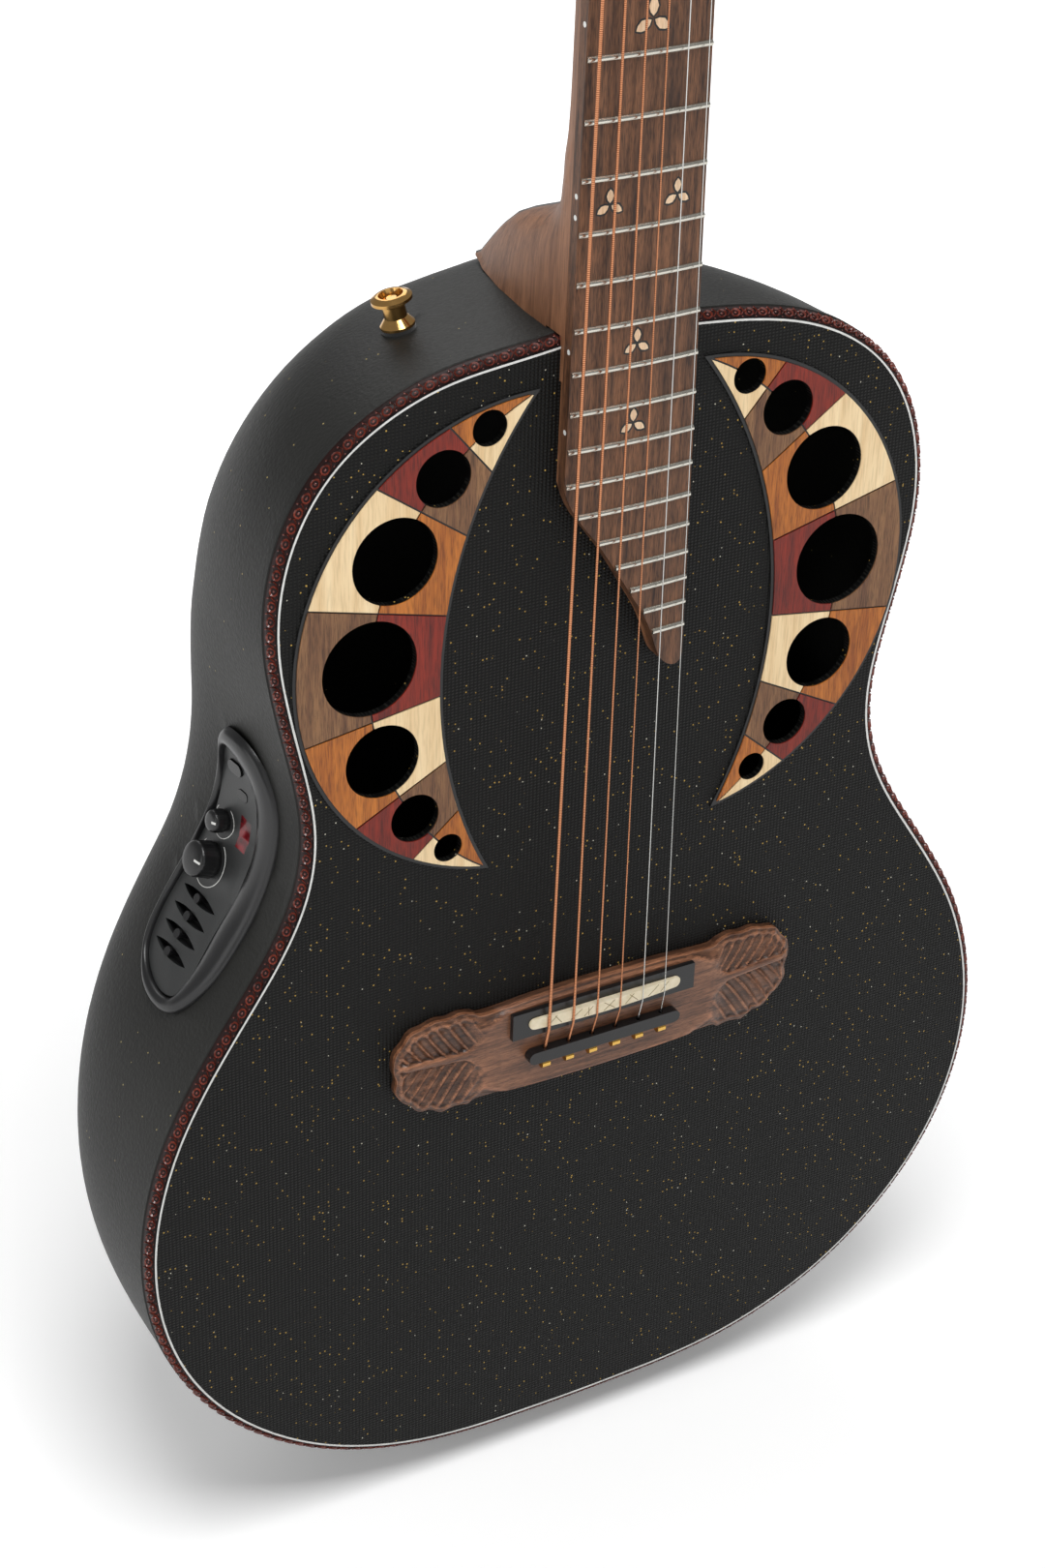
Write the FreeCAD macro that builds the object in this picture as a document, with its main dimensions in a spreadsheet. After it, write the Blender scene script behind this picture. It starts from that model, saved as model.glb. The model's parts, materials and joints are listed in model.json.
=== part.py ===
import FreeCAD, Part
import Sketcher
import math
import os

# An acoustic-electric guitar with a moulded round back, standing on its tail.
# Millimetres. +X is the treble side, +Y points from the soundboard to the back, +Z up the neck.
# All pieces are drawn in the body's own frame: y = 0 on the soundboard's face and z = 0 at the
# tail end of the rim. At the end each one is moved so that the origin lies in the mouth of the
# output jack, which is bored into the tail strap pin.

os.makedirs("parts", exist_ok=True)
doc = FreeCAD.newDocument("acoustic_electric_guitar")
Vector = FreeCAD.Vector
Rotation = FreeCAD.Rotation
RIGHT = Vector(1, 0, 0)
BACK = Vector(0, 1, 0)
UP = Vector(0, 0, 1)

SIZES = {
    # Body and rim
    "body_length": "504",
    "lower_bout_width": "394",
    "binding_width": "3.5",
    "binding_depth": "9",
    "purfling_width": "1",
    "top_thickness": "2.5",
    # Moulded bowl
    "bowl_depth": "138",
    "bowl_crown": "12",
    "bowl_wall": "3.2",
    "bowl_setback": "0.8",
    "ledge_width": "4",
    "ledge_depth": "11.5",
    "ledge_fit": "0.8",
    # Sound hole panels, given for the treble side
    "panel_head_x": "34",
    "panel_head_z": "484",
    "panel_tail_x": "50",
    "panel_tail_z": "290",
    "panel_outer_x": "131",
    "panel_inner_x": "70",
    "panel_middle_z": "395",
    "panel_edge": "1.4",
    "hole_row_margin": "23",
    "backing_thickness": "0.6",
    "veneer_thickness": "0.5",
    "veneer_line": "0.7",
    "hole_1_diameter": "14",
    "hole_2_diameter": "22",
    "hole_3_diameter": "34",
    "hole_4_diameter": "38",
    "hole_5_diameter": "30",
    "hole_6_diameter": "20",
    "hole_7_diameter": "12",
    # Braces under the soundboard
    "brace_width": "7",
    "brace_height": "9",
    "long_brace_x": "22",
    "long_brace_top_z": "456",
    "cross_brace_z": "256",
    "cross_brace_length": "230",
    "fan_brace_spacing": "34",
    "fan_brace_top_z": "176",
    "fan_brace_length": "125",
    "fan_brace_angle": "9",
    "bridge_plate_length": "170",
    "bridge_plate_width": "56",
    "bridge_plate_thickness": "3",
    # Neck and fingerboard
    "scale_length": "641.35",
    "neck_gap": "2",
    "nut_width": "43",
    "twelfth_fret_width": "51",
    "board_top": "8.4",
    "board_thickness": "6",
    "board_radius": "305",
    "board_end_z": "364",
    "board_shoulder_z": "446",
    "neck_thickness": "20.5",
    "heel_neck_thickness": "22.5",
    "heel_depth": "75",
    "heel_height": "62",
    "heel_into_bowl": "18",
    "heel_cap_thickness": "1.2",
    "heel_cap_inset": "5",
    "heel_cap_length": "64",
    "tongue_inset": "0.8",
    "truss_rod_width": "6",
    "truss_rod_depth": "9",
    "truss_rod_length": "330",
    "truss_rod_fit": "0.1",
    # Frets and markers
    "fret_width": "2.4",
    "fret_height": "1.1",
    "fret_inset": "0.4",
    "marker_depth": "1.2",
    "marker_size": "5.2",
    "marker_fit": "0.35",
    "marker_pair_spacing": "27",
    "side_dot_diameter": "2",
    "side_dot_spacing": "7.5",
    "side_dot_depth": "1.5",
    # Nut
    "nut_thickness": "5",
    "nut_height": "2.6",
    "nut_slot_height": "1.7",
    "nut_string_spread": "36",
    # Bridge, saddle and anchor bar
    "bridge_length": "183",
    "bridge_width": "44",
    "bridge_thickness": "7",
    "bridge_setback": "11.8",
    "saddle_compensation": "2.9",
    "tray_length": "84",
    "tray_width": "12",
    "tray_recess": "2",
    "tray_height": "2.3",
    "tray_floor": "0.8",
    "pickup_height": "1.2",
    "pickup_fit": "0.1",
    "saddle_length": "70",
    "saddle_width": "5",
    "saddle_top": "12",
    "bar_setback": "16.3",
    "bar_length": "70",
    "bar_width": "5.5",
    "bar_height": "4.2",
    "bar_hole_radius": "1",
    "bar_hole_height": "2",
    "saddle_string_spread": "53.9",
    "ball_radius": "1.9",
    "ball_length": "3.6",
    # Strings, thickest first
    "string_1_diameter": "1.35",
    "string_2_diameter": "1.07",
    "string_3_diameter": "0.81",
    "string_4_diameter": "0.61",
    "string_5_diameter": "0.46",
    "string_6_diameter": "0.36",
    "string_clearance": "0.1",
    "winding_clearance": "0.3",
    "winding_gap": "0.5",
    # Headstock
    "head_angle": "14",
    "head_length": "178",
    "head_width": "74",
    "head_thickness": "14",
    "head_veneer": "1",
    "tuner_first": "44",
    "tuner_spacing": "40",
    "tuner_edge": "13",
    # Tuning machines
    "post_radius": "3",
    "post_waist_radius": "2.6",
    "post_height": "10",
    "post_waist_start": "2.6",
    "post_waist_length": "5",
    "post_hole_radius": "1",
    "bushing_radius": "4.6",
    "bushing_flange_radius": "6.5",
    "bushing_flange": "1.6",
    "bushing_length": "9",
    "running_fit": "0.05",
    "housing_depth": "10.6",
    "housing_round": "1.6",
    "housing_wall": "1.3",
    "wheel_pitch_radius": "4.05",
    "wheel_teeth_count": "14",
    "wheel_thickness": "4",
    "worm_pitch_radius": "2.15",
    "worm_turns_count": "3",
    "tooth_height": "0.45",
    "tooth_root": "0.65",
    "key_shaft_radius": "2",
    "key_reach": "2.5",
    "key_bearing_radius": "1.3",
    "key_bearing_length": "0.9",
    "lug_radius": "2.8",
    "lug_thickness": "1.6",
    "button_length": "15",
    "button_height": "19",
    "button_thickness": "6.4",
    "button_round": "2",
    "gear_clearance": "0.4",
    # Strap button and tail pin
    "strap_button_x": "66",
    "strap_button_y": "46",
    "strap_button_radius": "7.6",
    "strap_button_foot": "6.4",
    "strap_button_neck": "4.2",
    "strap_button_height": "12.4",
    "strap_button_flange": "2.4",
    "strap_button_slope": "1.8",
    "strap_button_dish": "4.6",
    "strap_button_dish_depth": "3.4",
    "strap_washer_thickness": "1.5",
    "screw_radius": "1.9",
    "screw_head_radius": "3.6",
    "screw_head_height": "2",
    "screw_length": "26",
    "tail_pin_y": "40",
    "tail_pin_radius": "7.6",
    "tail_pin_neck": "5.6",
    "tail_pin_height": "14",
    "tail_pin_flange": "3",
    "jack_bore_radius": "3.25",
    "jack_bore_length": "30",
    "jack_barrel_radius": "5",
    "jack_length": "34",
    "jack_nut_radius": "8",
    "jack_nut_thickness": "3",
    # Preamp in the waist on the bass side
    "bezel_height": "3.6",
    "panel_height": "1.6",
    "panel_fit": "0.25",
    "preamp_depth": "22",
    "preamp_edge": "4",
    "knob_radius": "7.4",
    "knob_height": "11",
    "knob_round": "1.2",
    "knob_lift": "1",
    "knob_shaft_radius": "3",
    "knob_shaft_length": "8",
    "small_knob_radius": "4.4",
    "small_knob_height": "7",
    "slot_length": "25",
    "slider_travel": "8.5",
    "slider_stem_length": "2.4",
    "slot_width": "4.6",
    "slot_depth": "3",
    "slider_cap_radius": "1.9",
    "slider_cap_height": "1.2",
    "slider_lift": "0.3",
    "slider_stem": "1.2",
    "push_1_length": "9.5",
    "push_1_width": "5.2",
    "push_2_length": "7",
    "push_2_width": "4",
    "push_root": "1",
    "push_lift": "0.9",
    "push_travel": "1",
    "push_fit": "0.2",
    # Screws that hold the neck
    "neck_bolt_radius": "3",
    "neck_bolt_head_radius": "5",
    "neck_bolt_head": "4",
    "neck_bolt_reach": "18",
    "neck_bolt_first_y": "24",
    "neck_bolt_spacing": "18",
    "neck_bolt_fit": "0.1",
    "neck_block_width": "66",
    "neck_block_depth": "58",
    "neck_block_length": "38",
    # For every cut that runs past its faces
    "overrun": "5",
    # How near the arcs of an outline follow its smooth curve
    "curve_fit": "0.06",
}

# Half of the rim from the neck round to the tail: x over half the lower bout, z over the length
rim_outline_shares = [
    (0, 1), (0.159, 0.994), (0.316, 0.987), (0.47, 0.968), (0.601, 0.931), (0.684, 0.876),
    (0.712, 0.814), (0.695, 0.752), (0.661, 0.692), (0.643, 0.633), (0.675, 0.577),
    (0.749, 0.525), (0.836, 0.474), (0.916, 0.42), (0.972, 0.361), (0.997, 0.3),
    (0.987, 0.237), (0.942, 0.178), (0.861, 0.124), (0.75, 0.078), (0.618, 0.042),
    (0.471, 0.018), (0.318, 0.005), (0.16, 0.001), (0, 0),
]
# How full the bowl is: the exponents of its rounding and the places that its waist fills towards
bowl_form_shares = {
    "side": 4.62, "tail": 3.55, "neck": 5.5, "centre": 0.557, "egg_centre": 0.337,
    "waist": 0.4, "waist_rate": 1.67, "shoulder": 0.55, "shoulder_rate": 2, "shoulder_reach": 2.75,
}
# Where the bowl's sections lie: first by depth down the sides, then by width across the back
bowl_depth_shares = [0.24, 0.45, 0.62, 0.76, 0.86]
bowl_width_shares = [0.75, 0.6, 0.4, 0.2]


class Size:
    """A size and the sheet formula that gives it, so that one sum serves shapes and expressions."""

    def __init__(self, value, formula):
        self.value = value
        self.formula = formula

    def __float__(self):
        return self.value

    def joined(self, sign, other, value, swapped=False):
        first, second = (size(other), self) if swapped else (self, size(other))
        return Size(value, f"({first.formula} {sign} {second.formula})")

    def __add__(self, other):
        return self.joined("+", other, self.value + float(other))

    def __radd__(self, other):
        return self.joined("+", other, float(other) + self.value, swapped=True)

    def __sub__(self, other):
        return self.joined("-", other, self.value - float(other))

    def __rsub__(self, other):
        return self.joined("-", other, float(other) - self.value, swapped=True)

    def __mul__(self, other):
        return self.joined("*", other, self.value * float(other))

    def __rmul__(self, other):
        return self.joined("*", other, float(other) * self.value, swapped=True)

    def __truediv__(self, other):
        return self.joined("/", other, self.value / float(other))

    def __neg__(self):
        return 0 - self


def size(thing):
    return thing if isinstance(thing, Size) else Size(float(thing), repr(float(thing)))


sheet = doc.addObject("Spreadsheet::Sheet", "sizes")
for row, (name, number) in enumerate(SIZES.items(), start=1):
    sheet.set(f"A{row}", name)
    sheet.set(f"B{row}", number)
    sheet.setAlias(f"B{row}", name)
doc.recompute()


class Named:
    """The sheet's sizes by name."""

    def __getattr__(self, name):
        return Size(float(sheet.get(name)), f"sizes.{name}")


s = Named()
ZERO = size(0)

# Planes and places that several pieces share
nut_z = s.body_length + s.neck_gap + s.scale_length * (1 - 2 ** (-14 / 12))
saddle_z = nut_z - s.scale_length - s.saddle_compensation
board_under = s.board_thickness - s.board_top
head_y = board_under - s.head_veneer
head_z = nut_z + s.nut_thickness
body_rear = s.binding_width + s.purfling_width
tail_surface_z = s.bowl_setback
origin_y = s.tail_pin_y
origin_z = tail_surface_z - s.tail_pin_height
HEAD_TURN = Rotation(RIGHT, -float(s.head_angle))
HEAD_BASE = Vector(0, float(head_y), float(head_z))

nodes = []


def seat(piece, label, base=(ZERO, ZERO, ZERO), rotation=Rotation()):
    """Name a finished piece and move it from the body's frame to the guitar's."""
    piece.Label = label
    x, y, z = (size(place) for place in base)
    y = y - origin_y
    z = z - origin_z
    piece.Placement = FreeCAD.Placement(Vector(float(x), float(y), float(z)), rotation)
    piece.setExpression("Placement.Base.x", x.formula)
    piece.setExpression("Placement.Base.y", y.formula)
    piece.setExpression("Placement.Base.z", z.formula)
    nodes.append(piece)
    return piece


def feature(label, shape, base=(ZERO, ZERO, ZERO), rotation=Rotation()):
    """A piece from a shape, whose own place is first worked into its geometry."""
    place = shape.Placement.Matrix
    shape = shape.copy()
    shape.Placement = FreeCAD.Placement()
    piece = doc.addObject("Part::Feature", label)
    piece.Shape = shape.transformed(place, copy=True)
    return seat(piece, label, base, rotation)


def group(shapes):
    return Part.makeCompound(list(shapes))


def mirrored(shape):
    return shape.mirror(Vector(0, 0, 0), RIGHT)


def polygon_sketch(body, plane_role, corners):
    """A closed outline of straight lines in a body, every corner held by its two sizes."""
    sketch = body.newObject("Sketcher::SketchObject", f"{body.Name}_outline")
    plane = [part for part in body.Origin.OriginFeatures if part.Role == plane_role][0]
    sketch.AttachmentSupport = [(plane, "")]
    sketch.MapMode = "FlatFace"
    points = [Vector(float(x), float(y), 0) for x, y in corners]
    for index, point in enumerate(points):
        following = points[(index + 1) % len(points)]
        sketch.addGeometry(Part.LineSegment(point, following), False)
    for index in range(len(points)):
        following = (index + 1) % len(points)
        sketch.addConstraint(Sketcher.Constraint("Coincident", index, 2, following, 1))
    for index, (x, y) in enumerate(corners):
        for direction, place, axis in (("DistanceX", x, -2), ("DistanceY", y, -1)):
            if place is ZERO:
                sketch.addConstraint(Sketcher.Constraint("PointOnObject", index, 1, axis))
            else:
                limit = Sketcher.Constraint(direction, -1, 1, index, 1, float(place))
                number = sketch.addConstraint(limit)
                sketch.setExpression(f"Constraints[{number}]", place.formula)
    return sketch


def turned(name, corners):
    """A body turned about Z from its half section, given as (radius, height) corners."""
    body = doc.addObject("PartDesign::Body", name)
    sketch = polygon_sketch(body, "XZ_Plane", corners)
    turning = body.newObject("PartDesign::Revolution", f"{name}_turning")
    turning.Profile = sketch
    turning.ReferenceAxis = (sketch, ["V_Axis"])
    turning.Angle = 360
    body.Tip = turning
    return body


def prism(wire, start_y, end_y):
    """Extrude a flat outline, drawn in X and Z, between two depths."""
    face = Part.Face(wire)
    face.translate(Vector(0, float(start_y), 0))
    return face.extrude(Vector(0, float(end_y) - float(start_y), 0))


def smooth_curve(points):
    """A closed smooth curve through the points."""
    curve = Part.BSplineCurve()
    curve.interpolate(Points=points, PeriodicFlag=True)
    return curve


def arcs_along(curve):
    """Arcs that run on from one another along a smooth flat curve."""
    return [arc.toShape() for arc in curve.toBiArcs(float(s.curve_fit))]


def wire_through(points):
    return Part.Wire(arcs_along(smooth_curve(points)))


def skin(rings):
    """A solid between flat rings of points: its ends flat, its sides in flat triangles."""
    corners = []
    for low, high in zip(rings, rings[1:]):
        for index in range(len(low)):
            following = (index + 1) % len(low)
            corners.append([low[index], low[following], high[following]])
            corners.append([low[index], high[following], high[index]])
    corners += [rings[0], rings[-1]]
    shell = Part.makeShell([Part.Face(Part.makePolygon(face + face[:1])) for face in corners])
    shell.sewShape()
    solid = Part.makeSolid(shell)
    if solid.Volume < 0:
        solid.reverse()
    return solid


def box_between(low, high):
    low = Vector(*[float(part) for part in low])
    high = Vector(*[float(part) for part in high])
    return Part.makeBox(high.x - low.x, high.y - low.y, high.z - low.z, low)


string_sides = 8


def rod(points, radius):
    """A round wire along straight runs, its sides mitred where the runs meet."""
    radius = float(radius)
    runs = [(second - first).normalize() for first, second in zip(points, points[1:])]
    across = runs[0].cross(RIGHT).normalize()
    ring = [
        points[0] + Rotation(runs[0], 360 * side / string_sides).multVec(across) * radius
        for side in range(string_sides)
    ]
    rings = [ring]
    for index, run in enumerate(runs):
        facing = run + runs[index + 1] if index + 1 < len(runs) else run
        end = points[index + 1]
        ring = [corner + run * ((end - corner).dot(facing) / run.dot(facing)) for corner in ring]
        rings.append(ring)
    return skin(rings)


# The rim's outline
half_bout = float(s.lower_bout_width) / 2
rim_half = [Vector(x * half_bout, 0, z * float(s.body_length)) for x, z in rim_outline_shares]
rim_points = rim_half + [Vector(-point.x, 0, point.z) for point in rim_half[-2:0:-1]]
rim_curve = Part.BSplineCurve()
rim_curve.interpolate(Points=rim_points, PeriodicFlag=True)
rim_stations = [
    rim_curve.FirstParameter + (rim_curve.LastParameter - rim_curve.FirstParameter) * step / 60
    for step in range(60)
]


def rim_offset_points(inset):
    """Points on the rim moved inwards, square to it."""
    points = []
    for station in rim_stations:
        along = rim_curve.tangent(station)[0]
        inwards = BACK.cross(along)
        points.append(rim_curve.value(station) + inwards * float(inset))
    return points


def rim_wire(inset):
    return wire_through(rim_offset_points(inset))


def rim_ring(outer, inner, start_y, end_y):
    """A ring that follows the rim between two insets."""
    return prism(rim_wire(outer), start_y, end_y).cut(prism(rim_wire(inner), start_y, end_y))


# The bowl
def rounded_off(depth_share, exponent):
    return (1 - depth_share ** exponent) ** (1 / exponent)


def section_depths(first=0):
    side = bowl_form_shares["side"]
    return [first] + bowl_depth_shares + [rounded_off(width, side) for width in bowl_width_shares]


def egg_half_width(height):
    """Half the width of the egg that the waist fills towards."""
    centre = bowl_form_shares["egg_centre"] * float(s.body_length)
    reach = float(s.body_length) - centre if height > centre else centre
    across = min(abs(height - centre) / reach, 1)
    return half_bout * math.sqrt(1 - across ** 2)


def bowl_point(rim_point, depth_share, growth):
    """The place that a point of the rim reaches at one share of the bowl's depth."""
    form = bowl_form_shares
    length = float(s.body_length)
    centre = form["centre"] * length
    start = float(s.binding_depth)
    full = float(s.bowl_depth) + growth
    crown = float(s.bowl_crown)
    scale_x = rounded_off(depth_share, form["side"])
    upper = rim_point.z > centre
    scale_z = rounded_off(depth_share, form["neck"] if upper else form["tail"])
    fill = form["waist"] * depth_share ** form["waist_rate"]
    half = abs(rim_point.x)
    filled = half + fill * max(egg_half_width(rim_point.z) - half, 0)
    shoulder = min(max((rim_point.z - centre) / (length - centre), 0), 1) ** form["shoulder_reach"]
    drawn = 1 - form["shoulder"] * depth_share ** form["shoulder_rate"] * shoulder
    y = start + depth_share * (full - start - crown) + crown * (1 - scale_x ** 2)
    x = math.copysign(filled * scale_x * drawn, rim_point.x)
    return Vector(x, y, centre + (rim_point.z - centre) * scale_z)


def bowl_rings(growth=0, first=0):
    """The bowl's sections, grown outwards or, below nought, shrunk inwards."""
    growth = float(growth)
    rim = rim_offset_points(float(s.bowl_setback) - growth)
    return [[bowl_point(point, share, growth) for point in rim] for share in section_depths(first)]


def level_ring(inset, y):
    return [point + BACK * float(y) for point in rim_offset_points(inset)]


bowl_outside = skin(bowl_rings())
bowl_inside = skin(bowl_rings(-s.bowl_wall))
smooth_bowl = Part.makeLoft([Part.Wire(smooth_curve(ring).toShape()) for ring in bowl_rings()], False, False)
bowl_surface = smooth_bowl.Faces[0].Surface


def bowl_touch(start, direction):
    """Where a ray from inside the bowl meets its outside, and the outward direction there."""
    met = Part.Line(start, start + direction).intersectCS(bowl_surface)[0]
    places = [Vector(point.X, point.Y, point.Z) for point in met]
    touch = max(places, key=lambda place: (place - start).dot(direction))
    outwards = bowl_surface.normal(*bowl_surface.parameter(touch))
    if outwards.dot(direction) < 0:
        outwards = outwards * -1
    return touch, outwards


def bowl_layer(outline, inner, outer):
    """What lies inside an outline seen from the side, between two solids of the bowl's form."""
    return outline.common(outer).cut(inner)


# The preamp's outlines on the bass side: y over the bowl's depth, z over its length
bezel_outline_shares = [
    (0.362, 0.685), (0.28, 0.683), (0.207, 0.665), (0.16, 0.63), (0.15, 0.58), (0.157, 0.536),
    (0.178, 0.5), (0.244, 0.473), (0.34, 0.467), (0.449, 0.475), (0.525, 0.498), (0.537, 0.532),
    (0.51, 0.58), (0.468, 0.625), (0.456, 0.657), (0.42, 0.678),
]
preamp_panel_shares = [
    (0.392, 0.668), (0.31, 0.658), (0.262, 0.637), (0.241, 0.6), (0.243, 0.57), (0.258, 0.535),
    (0.258, 0.505), (0.275, 0.482), (0.33, 0.476), (0.42, 0.48), (0.49, 0.492), (0.519, 0.515),
    (0.512, 0.545), (0.486, 0.588), (0.45, 0.62), (0.438, 0.655),
]
display_shares = [(0.33, 0.617), (0.277, 0.615), (0.284, 0.59), (0.332, 0.5905)]
knob_place_shares = {"volume_knob": (0.409, 0.568), "tone_knob": (0.409, 0.601)}
slider_place_shares = [(0.39, 0.5395), (0.393, 0.5255), (0.393, 0.512), (0.392, 0.4985)]
push_place_shares = [(0.375, 0.651), (0.334, 0.632)]


def on_side(shares):
    """Turn shares of the bowl's depth and length into y and z."""
    return [(y * float(s.bowl_depth), z * float(s.body_length)) for y, z in shares]


def side_prism(wire):
    """Extrude an outline in Y and Z from the middle out through the bass side."""
    return Part.Face(wire).extrude(Vector(-float(s.lower_bout_width), 0, 0))


def side_loop(shares, inset=0):
    """A smooth outline on the bass side, drawn in from its points by one amount."""
    points = [Vector(0, y, z) for y, z in on_side(shares)]
    moved = []
    for index, point in enumerate(points):
        along = points[(index + 1) % len(points)] - points[index - 1]
        inwards = RIGHT.cross(along).normalize()
        moved.append(point + inwards * inset)
    return wire_through(moved)


# The neck's shape
def board_half_width(z):
    """Half the fingerboard's width at a height."""
    slope = (float(s.twelfth_fret_width) - float(s.nut_width)) / float(s.scale_length)
    return float(s.nut_width) / 2 + slope * (float(nut_z) - z)


# Fingerboard end: x over its half width, z between its tip and its shoulder
board_end_shares = [
    (1, 0.05), (0.89, 0), (0.73, 0.02), (0.49, 0.17), (0, 0.476), (-0.51, 0.738), (-0.8, 0.872),
]


def board_wire(inset=0):
    """The fingerboard's outline: straight sides and an end drawn across to the treble side."""
    inset = float(inset)
    top = float(nut_z)
    tip = float(s.board_end_z)
    shoulder = float(s.board_shoulder_z)
    end = [
        Vector(
            x * (board_half_width(tip) - inset), 0, tip + inset + z * (shoulder - tip)
        )
        for x, z in board_end_shares
    ]
    end.append(Vector(inset - board_half_width(shoulder), 0, shoulder + inset))
    curve = Part.BSplineCurve()
    curve.interpolate(Points=end)
    bass = Vector(inset - board_half_width(top), 0, top)
    treble = Vector(board_half_width(top) - inset, 0, top)
    sides = [
        Part.makeLine(end[-1], bass),
        Part.makeLine(bass, treble),
        Part.makeLine(treble, end[0]),
    ]
    return Part.Wire(arcs_along(curve) + sides)


def fret_z(number):
    return float(nut_z) - float(s.scale_length) * (1 - 2 ** (-number / 12))


neck_roundness_share = 2.2
heel_profile_shares = [
    (-0.3, 1.26), (0, 1), (0.25, 0.74), (0.5, 0.48), (0.68, 0.29), (0.84, 0.14), (0.98, 0.056),
    (1.12, 0.02), (1.26, 0.005), (1.42, 0),
]


def neck_back(z):
    """Depth of the neck's back behind the soundboard's face, away from the heel."""
    share = (float(nut_z) - z) / float(s.scale_length) * 2
    thickness = s.neck_thickness + (s.heel_neck_thickness - s.neck_thickness) * share
    return float(thickness - s.board_top)


def neck_section(z, back):
    """Corners of one cross-section of the neck: flat under the fingerboard and round behind."""
    half = board_half_width(z)
    front = float(board_under)
    points = []
    for step in range(13):
        angle = math.pi * step / 12
        across = math.copysign(abs(math.cos(angle)) ** (2 / neck_roundness_share), math.cos(angle))
        deep = math.sin(angle) ** (2 / neck_roundness_share) if 0 < step < 12 else 0
        points.append(Vector(half * across, front + (back - front) * deep, z))
    return points


heel_foot = float(s.body_length)
heel_sections = []
for rise, depth in heel_profile_shares:
    z = heel_foot + rise * float(s.heel_height)
    back = neck_back(z) + depth * (float(s.heel_depth) - neck_back(z))
    heel_sections.append((z, back))
shaft_top = float(head_z) + float(s.nut_thickness)
neck_sections = heel_sections + [(shaft_top, neck_back(shaft_top))]
neck_form = skin([neck_section(z, back) for z, back in neck_sections])


def yz_prism(points, half_width):
    """Extrude an outline in Y and Z to both sides of the middle."""
    corners = [Vector(-float(half_width), y, z) for y, z in points]
    face = Part.Face(Part.makePolygon(corners + corners[:1]))
    return face.extrude(Vector(2 * float(half_width), 0, 0))


# The heel's back is planed flat and carries a thin black cap
heel_foot_back = heel_sections[1]
cap_top = heel_sections[4]
cap_start = Vector(0, heel_foot_back[1], heel_foot_back[0])
cap_end = Vector(0, cap_top[1], cap_top[0])
cap_outwards = (cap_end - cap_start).cross(RIGHT).normalize()
if cap_outwards.y < 0:
    cap_outwards = cap_outwards * -1
cap_start = cap_start - cap_outwards * float(s.heel_cap_inset)
cap_along = (cap_end - cap_start).normalize()
cap_outwards = cap_along.cross(RIGHT).normalize()
if cap_outwards.y < 0:
    cap_outwards = cap_outwards * -1
cap_low = cap_start - cap_along * float(s.heel_cap_inset) * 4
cap_high = cap_start + cap_along * float(s.heel_cap_length)


def cap_slab(inner, outer):
    """A slab along the heel cap's plane, between two heights over it."""
    corners = [
        cap_low + cap_outwards * inner,
        cap_high + cap_outwards * inner,
        cap_high + cap_outwards * outer,
        cap_low + cap_outwards * outer,
    ]
    return yz_prism([(corner.y, corner.z) for corner in corners], s.nut_width)


rim_block = prism(rim_wire(0), 0, s.binding_depth)
cap_under = -float(s.heel_cap_thickness)
neck_form = neck_form.cut([bowl_outside, rim_block])
heel_cap = neck_form.common(cap_slab(cap_under, 0))
neck_form = neck_form.cut(cap_slab(cap_under, float(s.heel_depth)))

over = float(s.overrun)
tongue_top = heel_foot + float(s.neck_gap) + over
tongue = prism(board_wire(s.tongue_inset), board_under, 0)
below_joint = box_between(
    (-s.nut_width, board_under, s.board_end_z - s.overrun), (s.nut_width, ZERO, tongue_top)
)
tongue = tongue.common(below_joint)

# Headstock, drawn flat with its face at y = 0 and then tilted back
head_half = float(s.head_width) / 2
head_foot_shares = [(0.62, 0), (0.64, 0.05), (0.76, 0.12), (0.93, 0.17), (1, 0.22)]
head_crown_shares = [(0.86, 0.86), (0.82, 0.93), (0.62, 0.972), (0.34, 0.985), (0.14, 1), (0, 1)]


def head_points(shares):
    return [Vector(x * head_half, 0, z * float(s.head_length)) for x, z in shares]


def smooth_edges(points):
    curve = Part.BSplineCurve()
    curve.interpolate(Points=points)
    return arcs_along(curve)


def head_wire(foot_height=0):
    """The headstock's outline: shoulders, straight tapering sides and a low crown."""
    foot = head_points(head_foot_shares)
    foot[0] = Vector(foot[0].x, 0, float(foot_height))
    crown = head_points(head_crown_shares)
    across = crown + [Vector(-point.x, 0, point.z) for point in crown[-2::-1]]
    bass_foot = [Vector(-point.x, 0, point.z) for point in foot[::-1]]
    edges = smooth_edges(foot) + [Part.makeLine(foot[-1], crown[0])]
    edges += smooth_edges(across) + [Part.makeLine(across[-1], bass_foot[0])]
    edges += smooth_edges(bass_foot) + [Part.makeLine(bass_foot[-1], foot[0])]
    return Part.Wire(edges)


def head_side_x(rise):
    """Half the headstock's width on its straight sides."""
    wide_x, wide_z = head_foot_shares[-1]
    narrow_x, narrow_z = head_crown_shares[0]
    share = (rise / float(s.head_length) - wide_z) / (narrow_z - wide_z)
    return head_half * (wide_x + (narrow_x - wide_x) * share)


def in_head(shape):
    """Tilt a shape drawn in the headstock's frame into the body's."""
    shape = shape.copy()
    shape.Placement = FreeCAD.Placement(HEAD_BASE, HEAD_TURN).multiply(shape.Placement)
    return shape


tuners = []
for number in range(6):
    step = number % 3
    side = -1 if number < 3 else 1
    rise = float(s.tuner_first + s.tuner_spacing * (step if number < 3 else 2 - step))
    tuners.append((side, side * (head_side_x(rise) - float(s.tuner_edge)), rise))

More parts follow.
